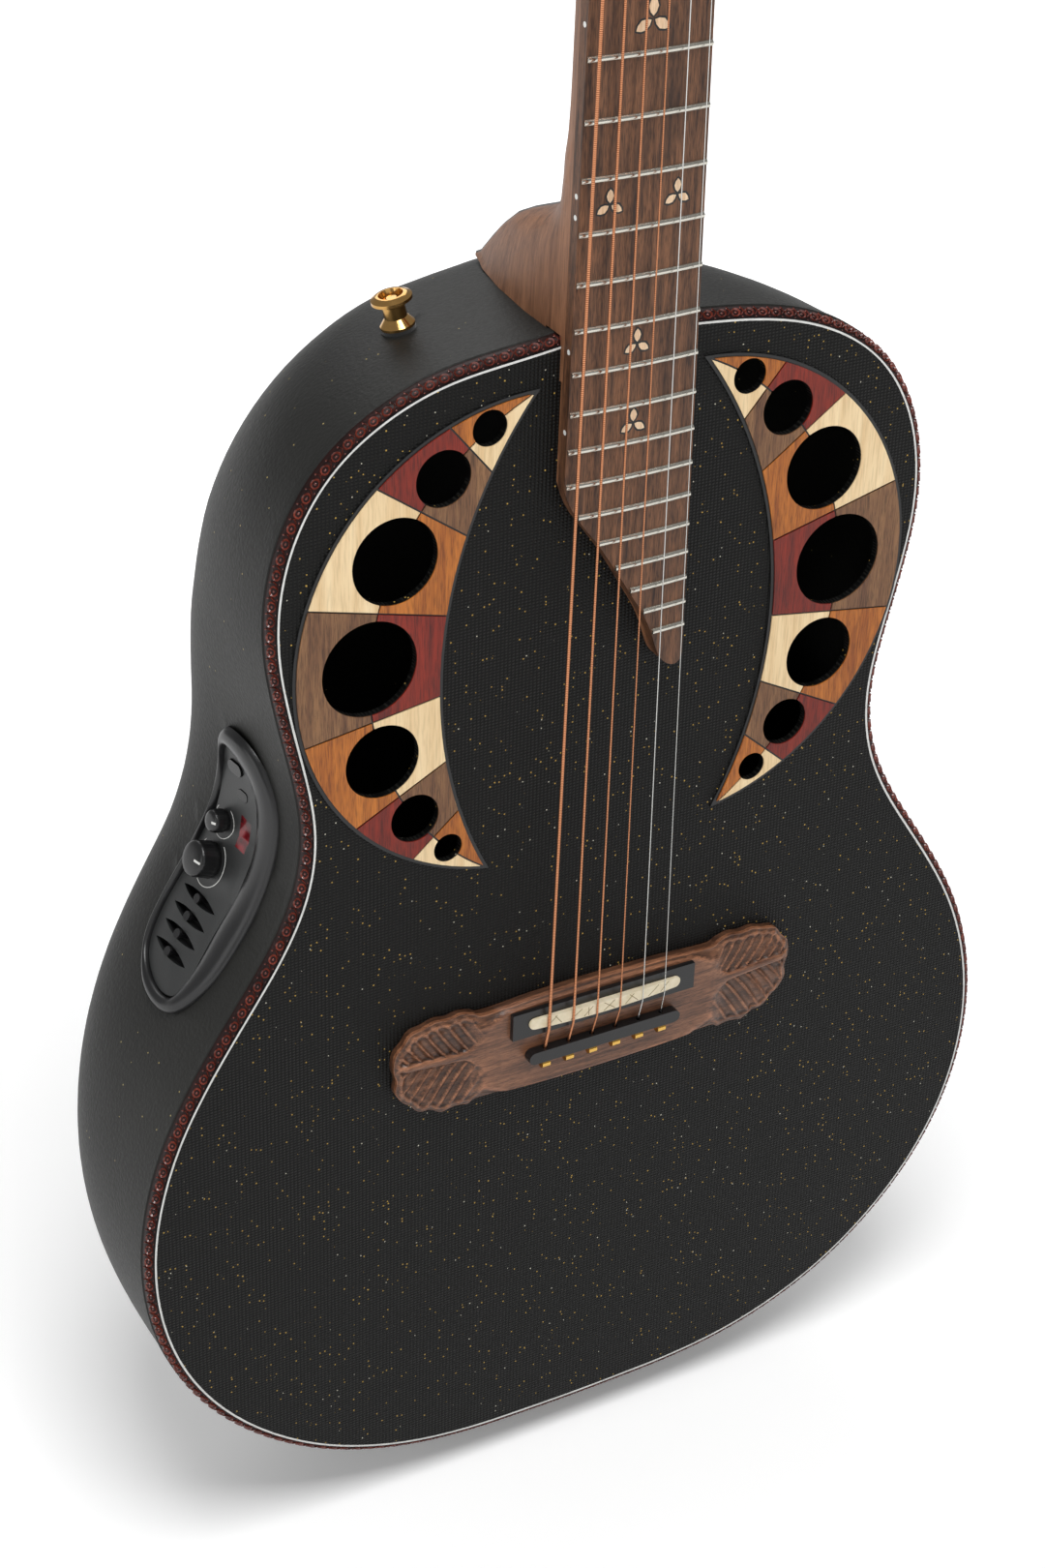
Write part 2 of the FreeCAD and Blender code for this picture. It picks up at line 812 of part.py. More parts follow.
veneer_back = float(s.head_veneer)
head_back = float(s.head_veneer + s.head_thickness)
head_wood = prism(head_wire(), veneer_back, head_back)
over_head = in_head(
    box_between((-s.head_width, -s.head_length, ZERO), (s.head_width, veneer_back, s.head_length))
)
neck_form = neck_form.cut(over_head)
neck = neck_form.fuse([tongue, in_head(head_wood)]).removeSplitter()

# Truss rod in its channel under the fingerboard
rod_low_z = heel_foot + float(s.neck_gap) + over
rod_high_z = rod_low_z + float(s.truss_rod_length)
rod_half = float(s.truss_rod_width) / 2
rod_fit = float(s.truss_rod_fit)
rod_back = float(board_under + s.truss_rod_depth)
channel = box_between(
    (-rod_half - rod_fit, board_under - over, rod_low_z - rod_fit),
    (rod_half + rod_fit, rod_back + rod_fit, rod_high_z + rod_fit),
)
neck = neck.cut(channel)
truss_rod = doc.addObject("Part::Box", "truss_rod")
truss_rod.setExpression("Length", s.truss_rod_width.formula)
truss_rod.setExpression("Width", s.truss_rod_depth.formula)
truss_rod.setExpression("Height", s.truss_rod_length.formula)
rod_base = (-s.truss_rod_width / 2, board_under, s.body_length + s.neck_gap + s.overrun)
seat(truss_rod, "truss_rod", rod_base)

# Fingerboard with its slight arch, and what is let into it
arch_middle_y = float(s.board_radius - s.board_top)


def arched(radius_growth, start_z, end_z):
    """A column under the fingerboard's arch, grown by one amount."""
    radius = float(s.board_radius) + radius_growth
    return Part.makeCylinder(radius, end_z - start_z, Vector(0, arch_middle_y, start_z), UP)


board_low = float(s.board_end_z) - over
board_face = Part.Face(board_wire())
board_blank = prism(board_wire(), -float(s.board_top) - over, board_under)
board_blank = board_blank.common(arched(0, board_low, float(nut_z) + over))

marker_places = {3: 1, 5: 1, 7: 1, 9: 1, 12: 2, 15: 1, 17: 1}
marker_scale_shares = {9: 1.35}
marker_floor = float(s.marker_depth - s.board_top)


petal_shares = [
    (0, 0), (0.2, 0.64), (0.5, 1), (0.8, 0.64), (1, 0), (0.8, -0.64), (0.5, -1), (0.2, -0.64),
]


def petal(middle, turn, length, growth):
    """One pointed petal of a marker, seen from the front."""
    outwards = Rotation(BACK, turn).multVec(UP)
    across = Rotation(BACK, turn).multVec(RIGHT)
    root = middle + outwards * (length * 0.12 - growth)
    tip = middle + outwards * (length * 1.06 + growth * 2)
    bulge = across * (length * 0.27 + growth)
    corners = [root + (tip - root) * along + bulge * wide for along, wide in petal_shares]
    return prism(Part.makePolygon(corners + corners[:1]), -float(s.board_top) - over, marker_floor)


petals = []
pockets = []
side_dots = []
dot_radius = float(s.side_dot_diameter) / 2
for fret, count in marker_places.items():
    middle_z = (fret_z(fret) + fret_z(fret - 1)) / 2
    length = float(s.marker_size) * marker_scale_shares.get(fret, 1)
    for copy in range(count):
        offset = (copy - (count - 1) / 2) * 2
        middle = Vector(offset * float(s.marker_pair_spacing) / 2, 0, middle_z)
        for turn in (0, 120, 240):
            petals.append(petal(middle, turn, length, 0).common(board_blank))
            pockets.append(petal(middle, turn, length, float(s.marker_fit)))
        dot_z = middle_z + offset * float(s.side_dot_spacing) / 2
        dot_x = -board_half_width(dot_z)
        dot_y = float(board_under - s.board_thickness / 2)
        start = Vector(dot_x - over, dot_y, dot_z)
        dot = Part.makeCylinder(dot_radius, over + float(s.side_dot_depth), start, RIGHT)
        side_dots.append(dot)
board = board_blank.cut(pockets + side_dots)
side_dots = [dot.common(board_blank) for dot in side_dots]

frets = []
fret_half = float(s.fret_width) / 2
fret_crown_shares = [(-1, 0), (-0.8, 0.6), (-0.35, 1), (0.35, 1), (0.8, 0.6), (1, 0)]
for number in range(1, 25):
    z = fret_z(number)
    across = Part.makeLine(Vector(-float(s.nut_width), 0, z), Vector(float(s.nut_width), 0, z))
    held = across.common(board_face).BoundBox
    board_y = -float(s.board_top)
    corners = [
        Vector(0, board_y - float(s.fret_height) * up, z + fret_half * along) for along, up in fret_crown_shares
    ]
    section = Part.Face(Part.makePolygon(corners + corners[:1]))
    angles = [
        math.degrees(math.asin(end / float(s.board_radius)))
        for end in (held.XMin + float(s.fret_inset), held.XMax - float(s.fret_inset))
    ]
    middle = Vector(0, arch_middle_y, z)
    section.rotate(middle, UP, angles[0])
    frets.append(section.revolve(middle, UP, angles[1] - angles[0]))

# Nut and strings
string_names = [f"string_{number}_diameter" for number in range(1, 7)]
string_radii = [float(getattr(s, name)) / 2 for name in string_names]


def spread_x(spread, index):
    return float(spread) * (index / 5 - 0.5)


def arch_sag(x):
    return float(s.board_radius) - math.sqrt(float(s.board_radius) ** 2 - x ** 2)


nut_low = float(nut_z)
nut_high = float(nut_z + s.nut_thickness)
nut_half = float(s.nut_width) / 2
nut = box_between(
    (-nut_half, -s.board_top - s.nut_height - s.overrun, nut_low), (nut_half, board_under, nut_high)
)
nut = nut.common(arched(float(s.nut_height), nut_low - over, nut_high + over))
nut_strings = []
for index, radius in enumerate(string_radii):
    x = spread_x(s.nut_string_spread, index)
    slot_floor = -float(s.board_top + s.nut_slot_height) + arch_sag(x)
    slot_half = radius + float(s.string_clearance)
    slot = box_between(
        (x - slot_half, -s.board_top - s.nut_height - s.overrun, nut_low - over),
        (x + slot_half, slot_floor, nut_high + over),
    )
    nut = nut.cut(slot)
    nut_strings.append(Vector(x, slot_floor - radius, nut_low))

# Bridge with its tray, pickup, saddle and anchor bar
bridge_half_shares = [
    (0, 0.86), (0.3, 0.84), (0.55, 0.8), (0.64, 0.93), (0.72, 1), (0.8, 0.96), (0.86, 0.99),
    (0.93, 0.84), (0.955, 0.6), (1, 0.42), (0.99, 0.12), (0.965, -0.1), (0.99, -0.34),
    (0.94, -0.62), (0.875, -0.7), (0.85, -0.92), (0.76, -1), (0.67, -0.9), (0.58, -0.8),
    (0.3, -0.87), (0, -0.9),
]
bridge_half_length = float(s.bridge_length) / 2
bridge_half_width = float(s.bridge_width) / 2
bridge_middle = float(saddle_z - s.bridge_setback)
bridge_side = [
    Vector(x * bridge_half_length, 0, bridge_middle + z * bridge_half_width)
    for x, z in bridge_half_shares
]
bridge_loop = bridge_side + [Vector(-point.x, 0, point.z) for point in bridge_side[-2:0:-1]]
bridge_top = -float(s.bridge_thickness)
bridge = prism(wire_through(bridge_loop), bridge_top, 0)
tray_floor_y = float(s.tray_recess - s.bridge_thickness)
tray_top_y = -float(s.bridge_thickness + s.tray_height)
saddle_middle = float(saddle_z)


def stadium(length, width, middle_z, start_y, end_y):
    """A bar along X with rounded ends."""
    length, width = float(length), float(width)
    half = length / 2 - width / 2
    low = Vector(-half, 0, middle_z - width / 2)
    high = Vector(half, 0, middle_z + width / 2)
    edges = [
        Part.makeLine(low, Vector(half, 0, low.z)),
        Part.Arc(Vector(half, 0, low.z), Vector(length / 2, 0, middle_z), high).toShape(),
        Part.makeLine(high, Vector(-half, 0, high.z)),
        Part.Arc(Vector(-half, 0, high.z), Vector(-length / 2, 0, middle_z), low).toShape(),
    ]
    return prism(Part.Wire(edges), start_y, end_y)


tray = box_between(
    (-s.tray_length / 2, tray_top_y, saddle_z - s.tray_width / 2),
    (s.tray_length / 2, tray_floor_y, saddle_z + s.tray_width / 2),
)
bridge = bridge.cut(tray)
saddle_slot = stadium(
    s.saddle_length, s.saddle_width, saddle_middle, tray_top_y - over, tray_floor_y - float(s.tray_floor)
)
tray = tray.cut(saddle_slot)
pickup_top = tray_floor_y - float(s.tray_floor + s.pickup_height)
pickup = stadium(
    s.saddle_length - s.pickup_fit * 2, s.saddle_width - s.pickup_fit * 2, saddle_middle,
    pickup_top, tray_floor_y - float(s.tray_floor),
)
saddle = stadium(
    s.saddle_length - s.pickup_fit * 2, s.saddle_width - s.pickup_fit * 2, saddle_middle,
    -float(s.saddle_top) - over, pickup_top,
)
saddle_low = saddle_middle - float(s.saddle_width)
saddle_arch = arched(float(s.saddle_top - s.board_top), saddle_low, saddle_low + float(s.saddle_width) * 2)
saddle = saddle.common(saddle_arch)
bar_middle = saddle_middle - float(s.bar_setback)
bar_top_y = bridge_top - float(s.bar_height)
bar = stadium(s.bar_length, s.bar_width, bar_middle, bar_top_y, bridge_top)
bar_low = bar_middle - float(s.bar_width) / 2
bar_high = bar_middle + float(s.bar_width) / 2
hole_y = bridge_top - float(s.bar_hole_height)
string_ends = []
for index, radius in enumerate(string_radii):
    x = spread_x(s.saddle_string_spread, index)
    crest_y = -float(s.saddle_top) + arch_sag(x) - radius - float(s.string_clearance)
    crest = Vector(x, crest_y, saddle_middle - float(s.saddle_width) / 2)
    entry = Vector(x, hole_y, bar_high)
    string_ends.append((crest, entry))
    hole = Part.makeCylinder(
        float(s.bar_hole_radius), float(s.bar_width) + 2 * over, Vector(x, hole_y, bar_low - over), UP
    )
    bar = bar.cut(hole)

ball_z = bar_low - float(s.ball_radius)
ball_half = float(s.ball_length) / 2
balls = [
    Part.makeCylinder(
        float(s.ball_radius), float(s.ball_length), Vector(crest.x - ball_half, hole_y, ball_z), RIGHT
    )
    for crest, entry in string_ends
]

strings = []
for index, radius in enumerate(string_radii):
    crest, entry = string_ends[index]
    start = nut_strings[index]
    side, post_x, rise = tuners[index]
    over_nut = Vector(start.x, start.y, nut_high)
    reach = float(s.post_radius + s.winding_clearance) + radius
    touch = Vector(post_x - side * reach, -float(s.post_waist_start) - float(s.post_waist_length) / 2, rise)
    at_post = HEAD_BASE + HEAD_TURN.multVec(touch)
    through = Vector(entry.x, entry.y, bar_low)
    strings.append(rod([through, entry, crest, start, over_nut, at_post], radius))

# Soundboard, its sound holes and the veneer panels round them
def mirror_both(shapes):
    return list(shapes) + [mirrored(shape) for shape in shapes]


panel_head = Vector(float(s.panel_head_x), 0, float(s.panel_head_z))
panel_tail = Vector(float(s.panel_tail_x), 0, float(s.panel_tail_z))
panel_bulges = [
    Vector(x, 0, float(s.panel_middle_z))
    for x in (float(s.panel_outer_x), float(s.panel_inner_x))
]
row_bulge = (panel_bulges[0] + panel_bulges[1]) * 0.5
row_curve = Part.Arc(panel_head, row_bulge, panel_tail).toShape()
row_middle = row_curve.Curve.Center
row_radius = row_curve.Curve.Radius


def panel_outline(inset):
    """The crescent panel's outline, drawn in from its edge by one amount."""
    arcs = []
    for bulge, sign in zip(panel_bulges, (-1, 1)):
        full = Part.Arc(panel_head, bulge, panel_tail).toShape().Curve
        arcs.append((full.Center, full.Radius + sign * inset))
    outer = Part.makeCylinder(arcs[0][1], 2 * over, arcs[0][0] - BACK * over, BACK)
    inner = Part.makeCylinder(arcs[1][1], 2 * over, arcs[1][0] - BACK * over, BACK)
    return outer.cut(inner)


def level(shape, start_y, end_y):
    """The part of an upright prism that lies between two depths."""
    wide = float(s.body_length)
    return shape.common(box_between((-wide, start_y, -wide), (wide, end_y, 2 * wide)))


hole_names = [f"hole_{number}_diameter" for number in range(1, 8)]
hole_radii = [float(getattr(s, name)) / 2 for name in hole_names]
row_length = row_curve.Length - 2 * float(s.hole_row_margin)
touching = sum(first + second for first, second in zip(hole_radii, hole_radii[1:]))
hole_gap = (row_length - touching) / (len(hole_radii) - 1)
hole_places = []
travelled = float(s.hole_row_margin)
for index, radius in enumerate(hole_radii):
    if index:
        travelled += hole_radii[index - 1] + radius + hole_gap
    hole_places.append(row_curve.valueAt(row_curve.getParameterByLength(travelled)))
print("gap between sound holes", hole_gap)
sound_holes = [
    Part.makeCylinder(radius, 4 * over, place - BACK * 2 * over, BACK)
    for radius, place in zip(hole_radii, hole_places)
]
top_wire = rim_wire(body_rear)
soundboard = prism(top_wire, 0, s.top_thickness).cut(mirror_both(sound_holes))
backing_top = -float(s.backing_thickness)
veneer_top = backing_top - float(s.veneer_thickness)
backing = level(panel_outline(0), backing_top, 0).cut(sound_holes)
line = float(s.veneer_line)
kerfs = [
    Part.makeCylinder(row_radius + line / 2, 2 * over, row_middle - BACK * over, BACK).cut(
        Part.makeCylinder(row_radius - line / 2, 4 * over, row_middle - BACK * 2 * over, BACK)
    )
]
cut_angles = []
for index in range(len(hole_radii) - 1):
    first, second = hole_places[index], hole_places[index + 1]
    share = (hole_radii[index] + hole_gap / 2) / (first - second).Length
    towards = (first + (second - first) * share - row_middle).normalize()
    cut_angles.append(math.degrees(math.atan2(towards.z, towards.x)))
    bar_cut = Part.makeBox(2 * row_radius, 2 * over, line, Vector(0, -over, -line / 2))
    bar_cut.rotate(Vector(0, 0, 0), BACK, -cut_angles[-1])
    bar_cut.translate(row_middle)
    kerfs.append(bar_cut)
veneer = level(panel_outline(float(s.panel_edge)), veneer_top, backing_top)
veneer = veneer.cut(sound_holes + kerfs)
woods = ["mahogany", "padauk", "maple", "walnut"]
inlaid = {wood: [] for wood in woods}
for cell in veneer.Solids:
    towards = cell.CenterOfMass - row_middle
    angle = math.degrees(math.atan2(towards.z, towards.x))
    place = sum(angle < cut for cut in cut_angles)
    ring = 0 if math.hypot(towards.x, towards.z) > row_radius else 2
    inlaid[woods[(place + ring) % 4]].append(cell)

# Braces and bridge plate under the soundboard
brace_front = float(s.top_thickness)
brace_back = brace_front + float(s.brace_height)
brace_half = float(s.brace_width) / 2
inside_ledge = prism(rim_wire(s.binding_width + s.ledge_width + s.overrun), 0, s.bowl_depth)


def brace(x, z, length, turn):
    """A bar under the soundboard that hangs down from one place at an angle."""
    bar = box_between((-brace_half, brace_front, -length), (brace_half, brace_back, 0))
    bar.rotate(Vector(0, 0, 0), BACK, turn)
    bar.translate(Vector(x, 0, z))
    return bar.common(inside_ledge)


long_low = float(s.cross_brace_z) + brace_half
long_length = float(s.long_brace_top_z) - long_low
long_x = float(s.long_brace_x)
braces = [brace(side * long_x, float(s.long_brace_top_z), long_length, 0) for side in (-1, 1)]
cross_half = float(s.cross_brace_length) / 2
braces.append(brace(-cross_half, float(s.cross_brace_z), cross_half * 2, -90))
for index in range(-2, 3):
    x = index * float(s.fan_brace_spacing)
    turn = -index * float(s.fan_brace_angle)
    braces.append(brace(x, float(s.fan_brace_top_z), float(s.fan_brace_length), -turn))
plate_half = float(s.bridge_plate_length) / 2
plate_width = float(s.bridge_plate_width) / 2
bridge_plate = box_between(
    (-plate_half, brace_front, bridge_middle - plate_width),
    (plate_half, brace_front + float(s.bridge_plate_thickness), bridge_middle + plate_width),
)

# Tuning machines, in the headstock's frame: x across, y into the wood and z up the head
tuner_middle_y = head_back + float(s.housing_depth) / 2
wheel_radius = float(s.wheel_pitch_radius)
teeth = round(float(s.wheel_teeth_count))
thread_pitch = 2 * math.pi * wheel_radius / teeth
worm_pitch_radius = float(s.worm_pitch_radius)
worm_drop = wheel_radius + worm_pitch_radius
worm_half = thread_pitch * float(s.worm_turns_count) / 2
tooth_out = float(s.tooth_height)
tooth_in = float(s.tooth_root)
tooth_width_share = 0.35
flank_share = 0.36
gear_gap = float(s.gear_clearance)
housing_wall = float(s.housing_wall)
key_shaft = float(s.key_shaft_radius)
running = float(s.running_fit)


worm_step_count = 8
thread_angle_shares = [0, 0.09, 0.16, 0.23, 0.3, 0.4, 0.5, -0.4, -0.3, -0.23, -0.16, -0.09]


def round_ring(radius, x, turn):
    """Corners round a shaft along X, where the thread's own corners stand after a turn."""
    ring = []
    for share in thread_angle_shares:
        angle = 2 * math.pi * (share + turn)
        ring.append(Vector(x, -radius * math.sin(angle), radius * math.cos(angle)))
    return ring


def thread_ring(x):
    """One section across the worm: its thread's crest, flanks and root, turned as far as x asks."""
    root = worm_pitch_radius - tooth_in
    tip = worm_pitch_radius + tooth_out
    half_width = thread_pitch * tooth_width_share / 2
    foot = (half_width + tooth_in * flank_share) / thread_pitch
    crest = (half_width - tooth_out * flank_share) / thread_pitch
    ring = []
    for share, corner in zip(thread_angle_shares, round_ring(1, x, x / thread_pitch)):
        sunk = min(max((abs(share) - crest) / (foot - crest), 0), 1)
        radius = tip + (root - tip) * sunk
        ring.append(Vector(x, corner.y * radius, corner.z * radius))
    return ring


def key_shaft_form(bearing_radius, start_x, shaft_radius, end_x):
    """The key's shaft along X: a bearing, the worm with its thread facing the wheel, and the stem."""
    steps = round(float(s.worm_turns_count) * worm_step_count)
    places = [worm_half * (2 * step / steps - 1) for step in range(steps + 1)]
    low_turn = places[0] / thread_pitch
    high_turn = places[-1] / thread_pitch
    rings = [round_ring(bearing_radius, start_x, low_turn), round_ring(bearing_radius, places[0], low_turn)]
    rings += [thread_ring(x) for x in places]
    rings += [round_ring(shaft_radius, places[-1], high_turn), round_ring(shaft_radius, end_x, high_turn)]
    return skin(rings)


def wheel():
    """The wheel on the post: teeth leaning with the worm's thread, a gap facing the worm."""
    root = wheel_radius - tooth_in
    tip = wheel_radius + tooth_out
    half_angle = math.pi / teeth * tooth_width_share
    foot_angle = half_angle + tooth_in * flank_share / wheel_radius
    crest_angle = half_angle - tooth_out * flank_share / wheel_radius
    thickness = float(s.wheel_thickness)
    lean = thread_pitch / (2 * math.pi * worm_pitch_radius) * thickness / wheel_radius
    rims = []
    for end in (-1, 1):
        corners = []
        for tooth in range(teeth):
            middle = -math.pi / 2 + (tooth + 0.5) * 2 * math.pi / teeth - end * lean / 2
            for angle, radius in (
                (middle - foot_angle, root), (middle - crest_angle, tip),
                (middle + crest_angle, tip), (middle + foot_angle, root),
            ):
                corners.append(
                    Vector(radius * math.cos(angle), end * thickness / 2, radius * math.sin(angle))
                )
        rims.append(corners)
    return skin(rims)


turned_sides = 16
bore_growth = 1 / math.cos(math.pi / turned_sides)


def along_y(radius, start_y, end_y):
    """A round piece along Y, as a prism of many sides."""
    rings = []
    for y in (start_y, end_y):
        ring = [Rotation(BACK, 360 * side / turned_sides).multVec(RIGHT) * radius for side in range(turned_sides)]
        rings.append([corner + BACK * y for corner in ring])
    return skin(rings)


def bored_y(radius, start_y, end_y):
    """Room for a round piece along Y that turns in it."""
    return along_y((radius + running) * bore_growth, start_y, end_y)


def bored_x(radius, start_x, end_x, y=0, z=0):
    """Room for a round piece along X that turns in it."""
    room = bored_y(radius, start_x, end_x)
    room.rotate(Vector(0, 0, 0), UP, -90)
    room.translate(Vector(0, y, z))
    return room


wheel_tip = wheel_radius + tooth_out
worm_tip = worm_pitch_radius + tooth_out
half_wheel = float(s.wheel_thickness) / 2
post_radius = float(s.post_radius)
post_top = -float(s.post_height)
waist_high = -float(s.post_waist_start)
waist_low = waist_high - float(s.post_waist_length)
spigot_radius = float(s.post_waist_radius)
spigot_end = tuner_middle_y + half_wheel + gear_gap + housing_wall

post = along_y(post_radius, post_top, waist_low)
post = post.fuse([
    along_y(float(s.post_waist_radius), waist_low, waist_high),
    along_y(post_radius, waist_high, tuner_middle_y - half_wheel),
    along_y(spigot_radius, tuner_middle_y - half_wheel, spigot_end - gear_gap),
])
turned_wheel = wheel()
turned_wheel.translate(Vector(0, tuner_middle_y, 0))
string_hole = bored_x(float(s.post_hole_radius), -post_radius * 2, post_radius * 2, (waist_low + waist_high) / 2)
post = post.fuse(turned_wheel).cut(string_hole).removeSplitter()

bushing = along_y(float(s.bushing_radius), -float(s.bushing_flange), float(s.bushing_length))
bushing = bushing.fuse(along_y(float(s.bushing_flange_radius), -float(s.bushing_flange), 0))
bushing = bushing.cut(bored_y(post_radius, -over, head_back))

# The treble side's housing: its worm runs out to +X
inner_x = -(wheel_tip + gear_gap + housing_wall)
bearing_x = worm_half + gear_gap
outer_x = bearing_x + 2 * housing_wall
top_z = wheel_tip + gear_gap + housing_wall
bottom_z = -(worm_drop + worm_tip + gear_gap + housing_wall)
housing_back = head_back + float(s.housing_depth)
housing = box_between((inner_x, head_back, bottom_z), (outer_x, housing_back, top_z))
outer_edges = [
    edge for edge in housing.Edges if max(vertex.Y for vertex in edge.Vertexes) > head_back + housing_wall
]
housing = housing.makeChamfer(float(s.housing_round), outer_edges)
lug_z = bottom_z - float(s.lug_radius) / 2
lug = along_y(float(s.lug_radius), head_back, head_back + float(s.lug_thickness))
lug.translate(Vector(0, 0, lug_z))
housing = housing.fuse(lug).removeSplitter()
worm_room = bored_x(worm_tip + gear_gap, -worm_half - gear_gap, bearing_x, tuner_middle_y, -worm_drop)
wheel_room = bored_y(wheel_tip + gear_gap, tuner_middle_y - half_wheel - gear_gap, spigot_end - housing_wall)
bearing_end = -worm_half - gear_gap - float(s.key_bearing_length)
housing = housing.cut([
    worm_room,
    wheel_room,
    bored_y(post_radius, head_back - over, tuner_middle_y),
    bored_y(spigot_radius, tuner_middle_y, spigot_end),
    bored_x(key_shaft, 0, outer_x + over, tuner_middle_y, -worm_drop),
    bored_x(float(s.key_bearing_radius), bearing_end, 0, tuner_middle_y, -worm_drop),
])

button_start = float(s.tuner_edge + s.key_reach)
button_middle = button_start + float(s.button_length) / 2
key_shaft_solid = key_shaft_form(
    float(s.key_bearing_radius), bearing_end + running, key_shaft, button_middle
)
button_half = float(s.button_thickness) / 2
button_sides = 20
button_rings = []
for depth_share, inset in ((-1, 1), (-1, 0), (1, 0), (1, 1)):
    edge = float(s.button_round)
    y = depth_share * (button_half - (edge if inset == 0 else 0))
    button_rings.append([
        Vector(
            button_middle + (float(s.button_length) / 2 - edge * inset) * math.cos(math.tau * side / button_sides),
            y,
            (float(s.button_height) / 2 - edge * inset) * math.sin(math.tau * side / button_sides),
        )
        for side in range(button_sides)
    ])
button = skin(button_rings).cut(bored_x(key_shaft, 0, button_middle))
key = group([key_shaft_solid, button])
key.translate(Vector(0, tuner_middle_y, -worm_drop))


def at_tuner(shape, tuner):
    """Copy a treble-side shape to one tuner, mirrored on the bass side."""
    side, x, rise = tuner
    copy = shape.copy() if side > 0 else mirrored(shape)
    copy.translate(Vector(x, 0, rise))
    return copy


post_holes = [at_tuner(along_y(float(s.bushing_radius), -over, head_back + over), tuner) for tuner in tuners]
neck = neck.cut([in_head(hole) for hole in post_holes])
veneer_foot = float(s.head_veneer) / 2
head_face = prism(head_wire(veneer_foot), 0, veneer_back).cut(post_holes)

# Preamp in the waist
panel_fit = float(s.panel_fit)
preamp_edge = float(s.preamp_edge)
bezel_level = skin(bowl_rings(s.bezel_height))
panel_level = skin(bowl_rings(s.panel_height))
bezel_ring = side_prism(side_loop(bezel_outline_shares)).cut(side_prism(side_loop(preamp_panel_shares)))
bezel = bowl_layer(bezel_ring, bowl_outside, bezel_level)
panel_prism = side_prism(side_loop(preamp_panel_shares, panel_fit))
panel_plate = bowl_layer(panel_prism, bowl_outside, panel_level)
housing_prism = side_prism(side_loop(preamp_panel_shares, preamp_edge))
preamp_housing = bowl_layer(housing_prism, skin(bowl_rings(-s.preamp_depth)), bowl_outside)
cutout = side_prism(side_loop(preamp_panel_shares, preamp_edge - panel_fit))
display_corners = [Vector(0, y, z) for y, z in on_side(display_shares)]
display_prism = side_prism(Part.makePolygon(display_corners + display_corners[:1]))
display = bowl_layer(display_prism, bowl_outside, panel_level)
panel_plate = panel_plate.cut(display_prism)


def side_place(share):
    """Point, outward direction and direction along the depth on the bass side."""
    y, z = on_side([share])[0]
    point, outwards = bowl_touch(Vector(0, y, z), RIGHT * -1)
    along = (BACK - outwards * BACK.dot(outwards)).normalize()
    return point, Rotation(along, outwards.cross(along), outwards, "ZXY"), outwards


def placed(shape, point, rotation):
    shape = shape.copy()
    shape.Placement = FreeCAD.Placement(point, rotation).multiply(shape.Placement)
    return shape


def lens(length, width, low, high):
    """A leaf-shaped prism about Z, its length along X."""
    tips = [Vector(-length / 2, 0, low), Vector(length / 2, 0, low)]
    sides = [
        Part.Arc(tips[0], Vector(0, width / 2, low), tips[1]).toShape(),
        Part.Arc(tips[1], Vector(0, -width / 2, low), tips[0]).toShape(),
    ]
    return Part.Face(Part.Wire(sides)).extrude(Vector(0, 0, high - low))


def capsule(length, width, low, high):
    """A prism about Z with straight sides and round ends, its length along X."""
    half = (length - width) / 2
    ends = [Part.makeCylinder(width / 2, high - low, Vector(x, 0, low)) for x in (-half, half)]
    block = Part.makeBox(2 * half, width, high - low, Vector(-half, -width / 2, low))
    return block.fuse(ends).removeSplitter()


panel_top = float(s.panel_height)
slot_floor = -float(s.slot_depth)
panel_cuts = []
housing_cuts = []
sliders = []
for share in slider_place_shares:
    point, rotation, outwards = side_place(share)
    slot = lens(float(s.slot_length), float(s.slot_width), slot_floor, over * 2)
    slot = placed(slot, point, rotation)
    panel_cuts.append(slot)
    housing_cuts.append(slot)
    stem_low = slot_floor + float(s.slider_lift)
    stem_high = panel_top + float(s.slider_lift)
    stem = Part.makeBox(
        float(s.slider_stem_length), float(s.slider_stem), stem_high - stem_low,
        Vector(-float(s.slider_stem_length) / 2, -float(s.slider_stem) / 2, stem_low),
    )
    cap = Part.makeCylinder(
        float(s.slider_cap_radius), float(s.slider_cap_height), Vector(0, 0, stem_high)
    )
    sliders.append((stem.fuse(cap).removeSplitter(), point, rotation))

pushes = []
for index, share in enumerate(push_place_shares, start=1):
    point, rotation, outwards = side_place(share)
    length = float(getattr(s, f"push_{index}_length"))
    width = float(getattr(s, f"push_{index}_width"))
    gap = float(s.push_fit)
    root = -float(s.push_root)
    recess = root - float(s.push_travel) - gap
    well = placed(capsule(length + 2 * gap, width + 2 * gap, recess, over * 2), point, rotation)
    panel_cuts.append(well)
    housing_cuts.append(well)
    pushes.append((capsule(length, width, root, panel_top + float(s.push_lift)), point, rotation))

knobs = []
for name, share in knob_place_shares.items():
    point, rotation, outwards = side_place(share)
    depth = float(s.knob_shaft_length)
    bore = Part.makeCylinder(
        float(s.knob_shaft_radius) + running, depth + running + over * 2, Vector(0, 0, -depth - running)
    )
    bore = placed(bore, point, rotation)
    panel_cuts.append(bore)
    housing_cuts.append(bore)
    big = name == "volume_knob"
    radius = s.knob_radius if big else s.small_knob_radius
    skirt = s.panel_height + s.knob_lift
    top = skirt + (s.knob_height if big else s.small_knob_height)
    knob = turned(name, [
        (ZERO, -s.knob_shaft_length),
        (s.knob_shaft_radius, -s.knob_shaft_length),
        (s.knob_shaft_radius, skirt),
        (radius, skirt),
        (radius, top - s.knob_round),
        (radius - s.knob_round, top),
        (ZERO, top),
    ])
    knobs.append((name, knob, point, rotation))
panel_plate = panel_plate.cut(panel_cuts)
preamp_housing = preamp_housing.cut(housing_cuts)

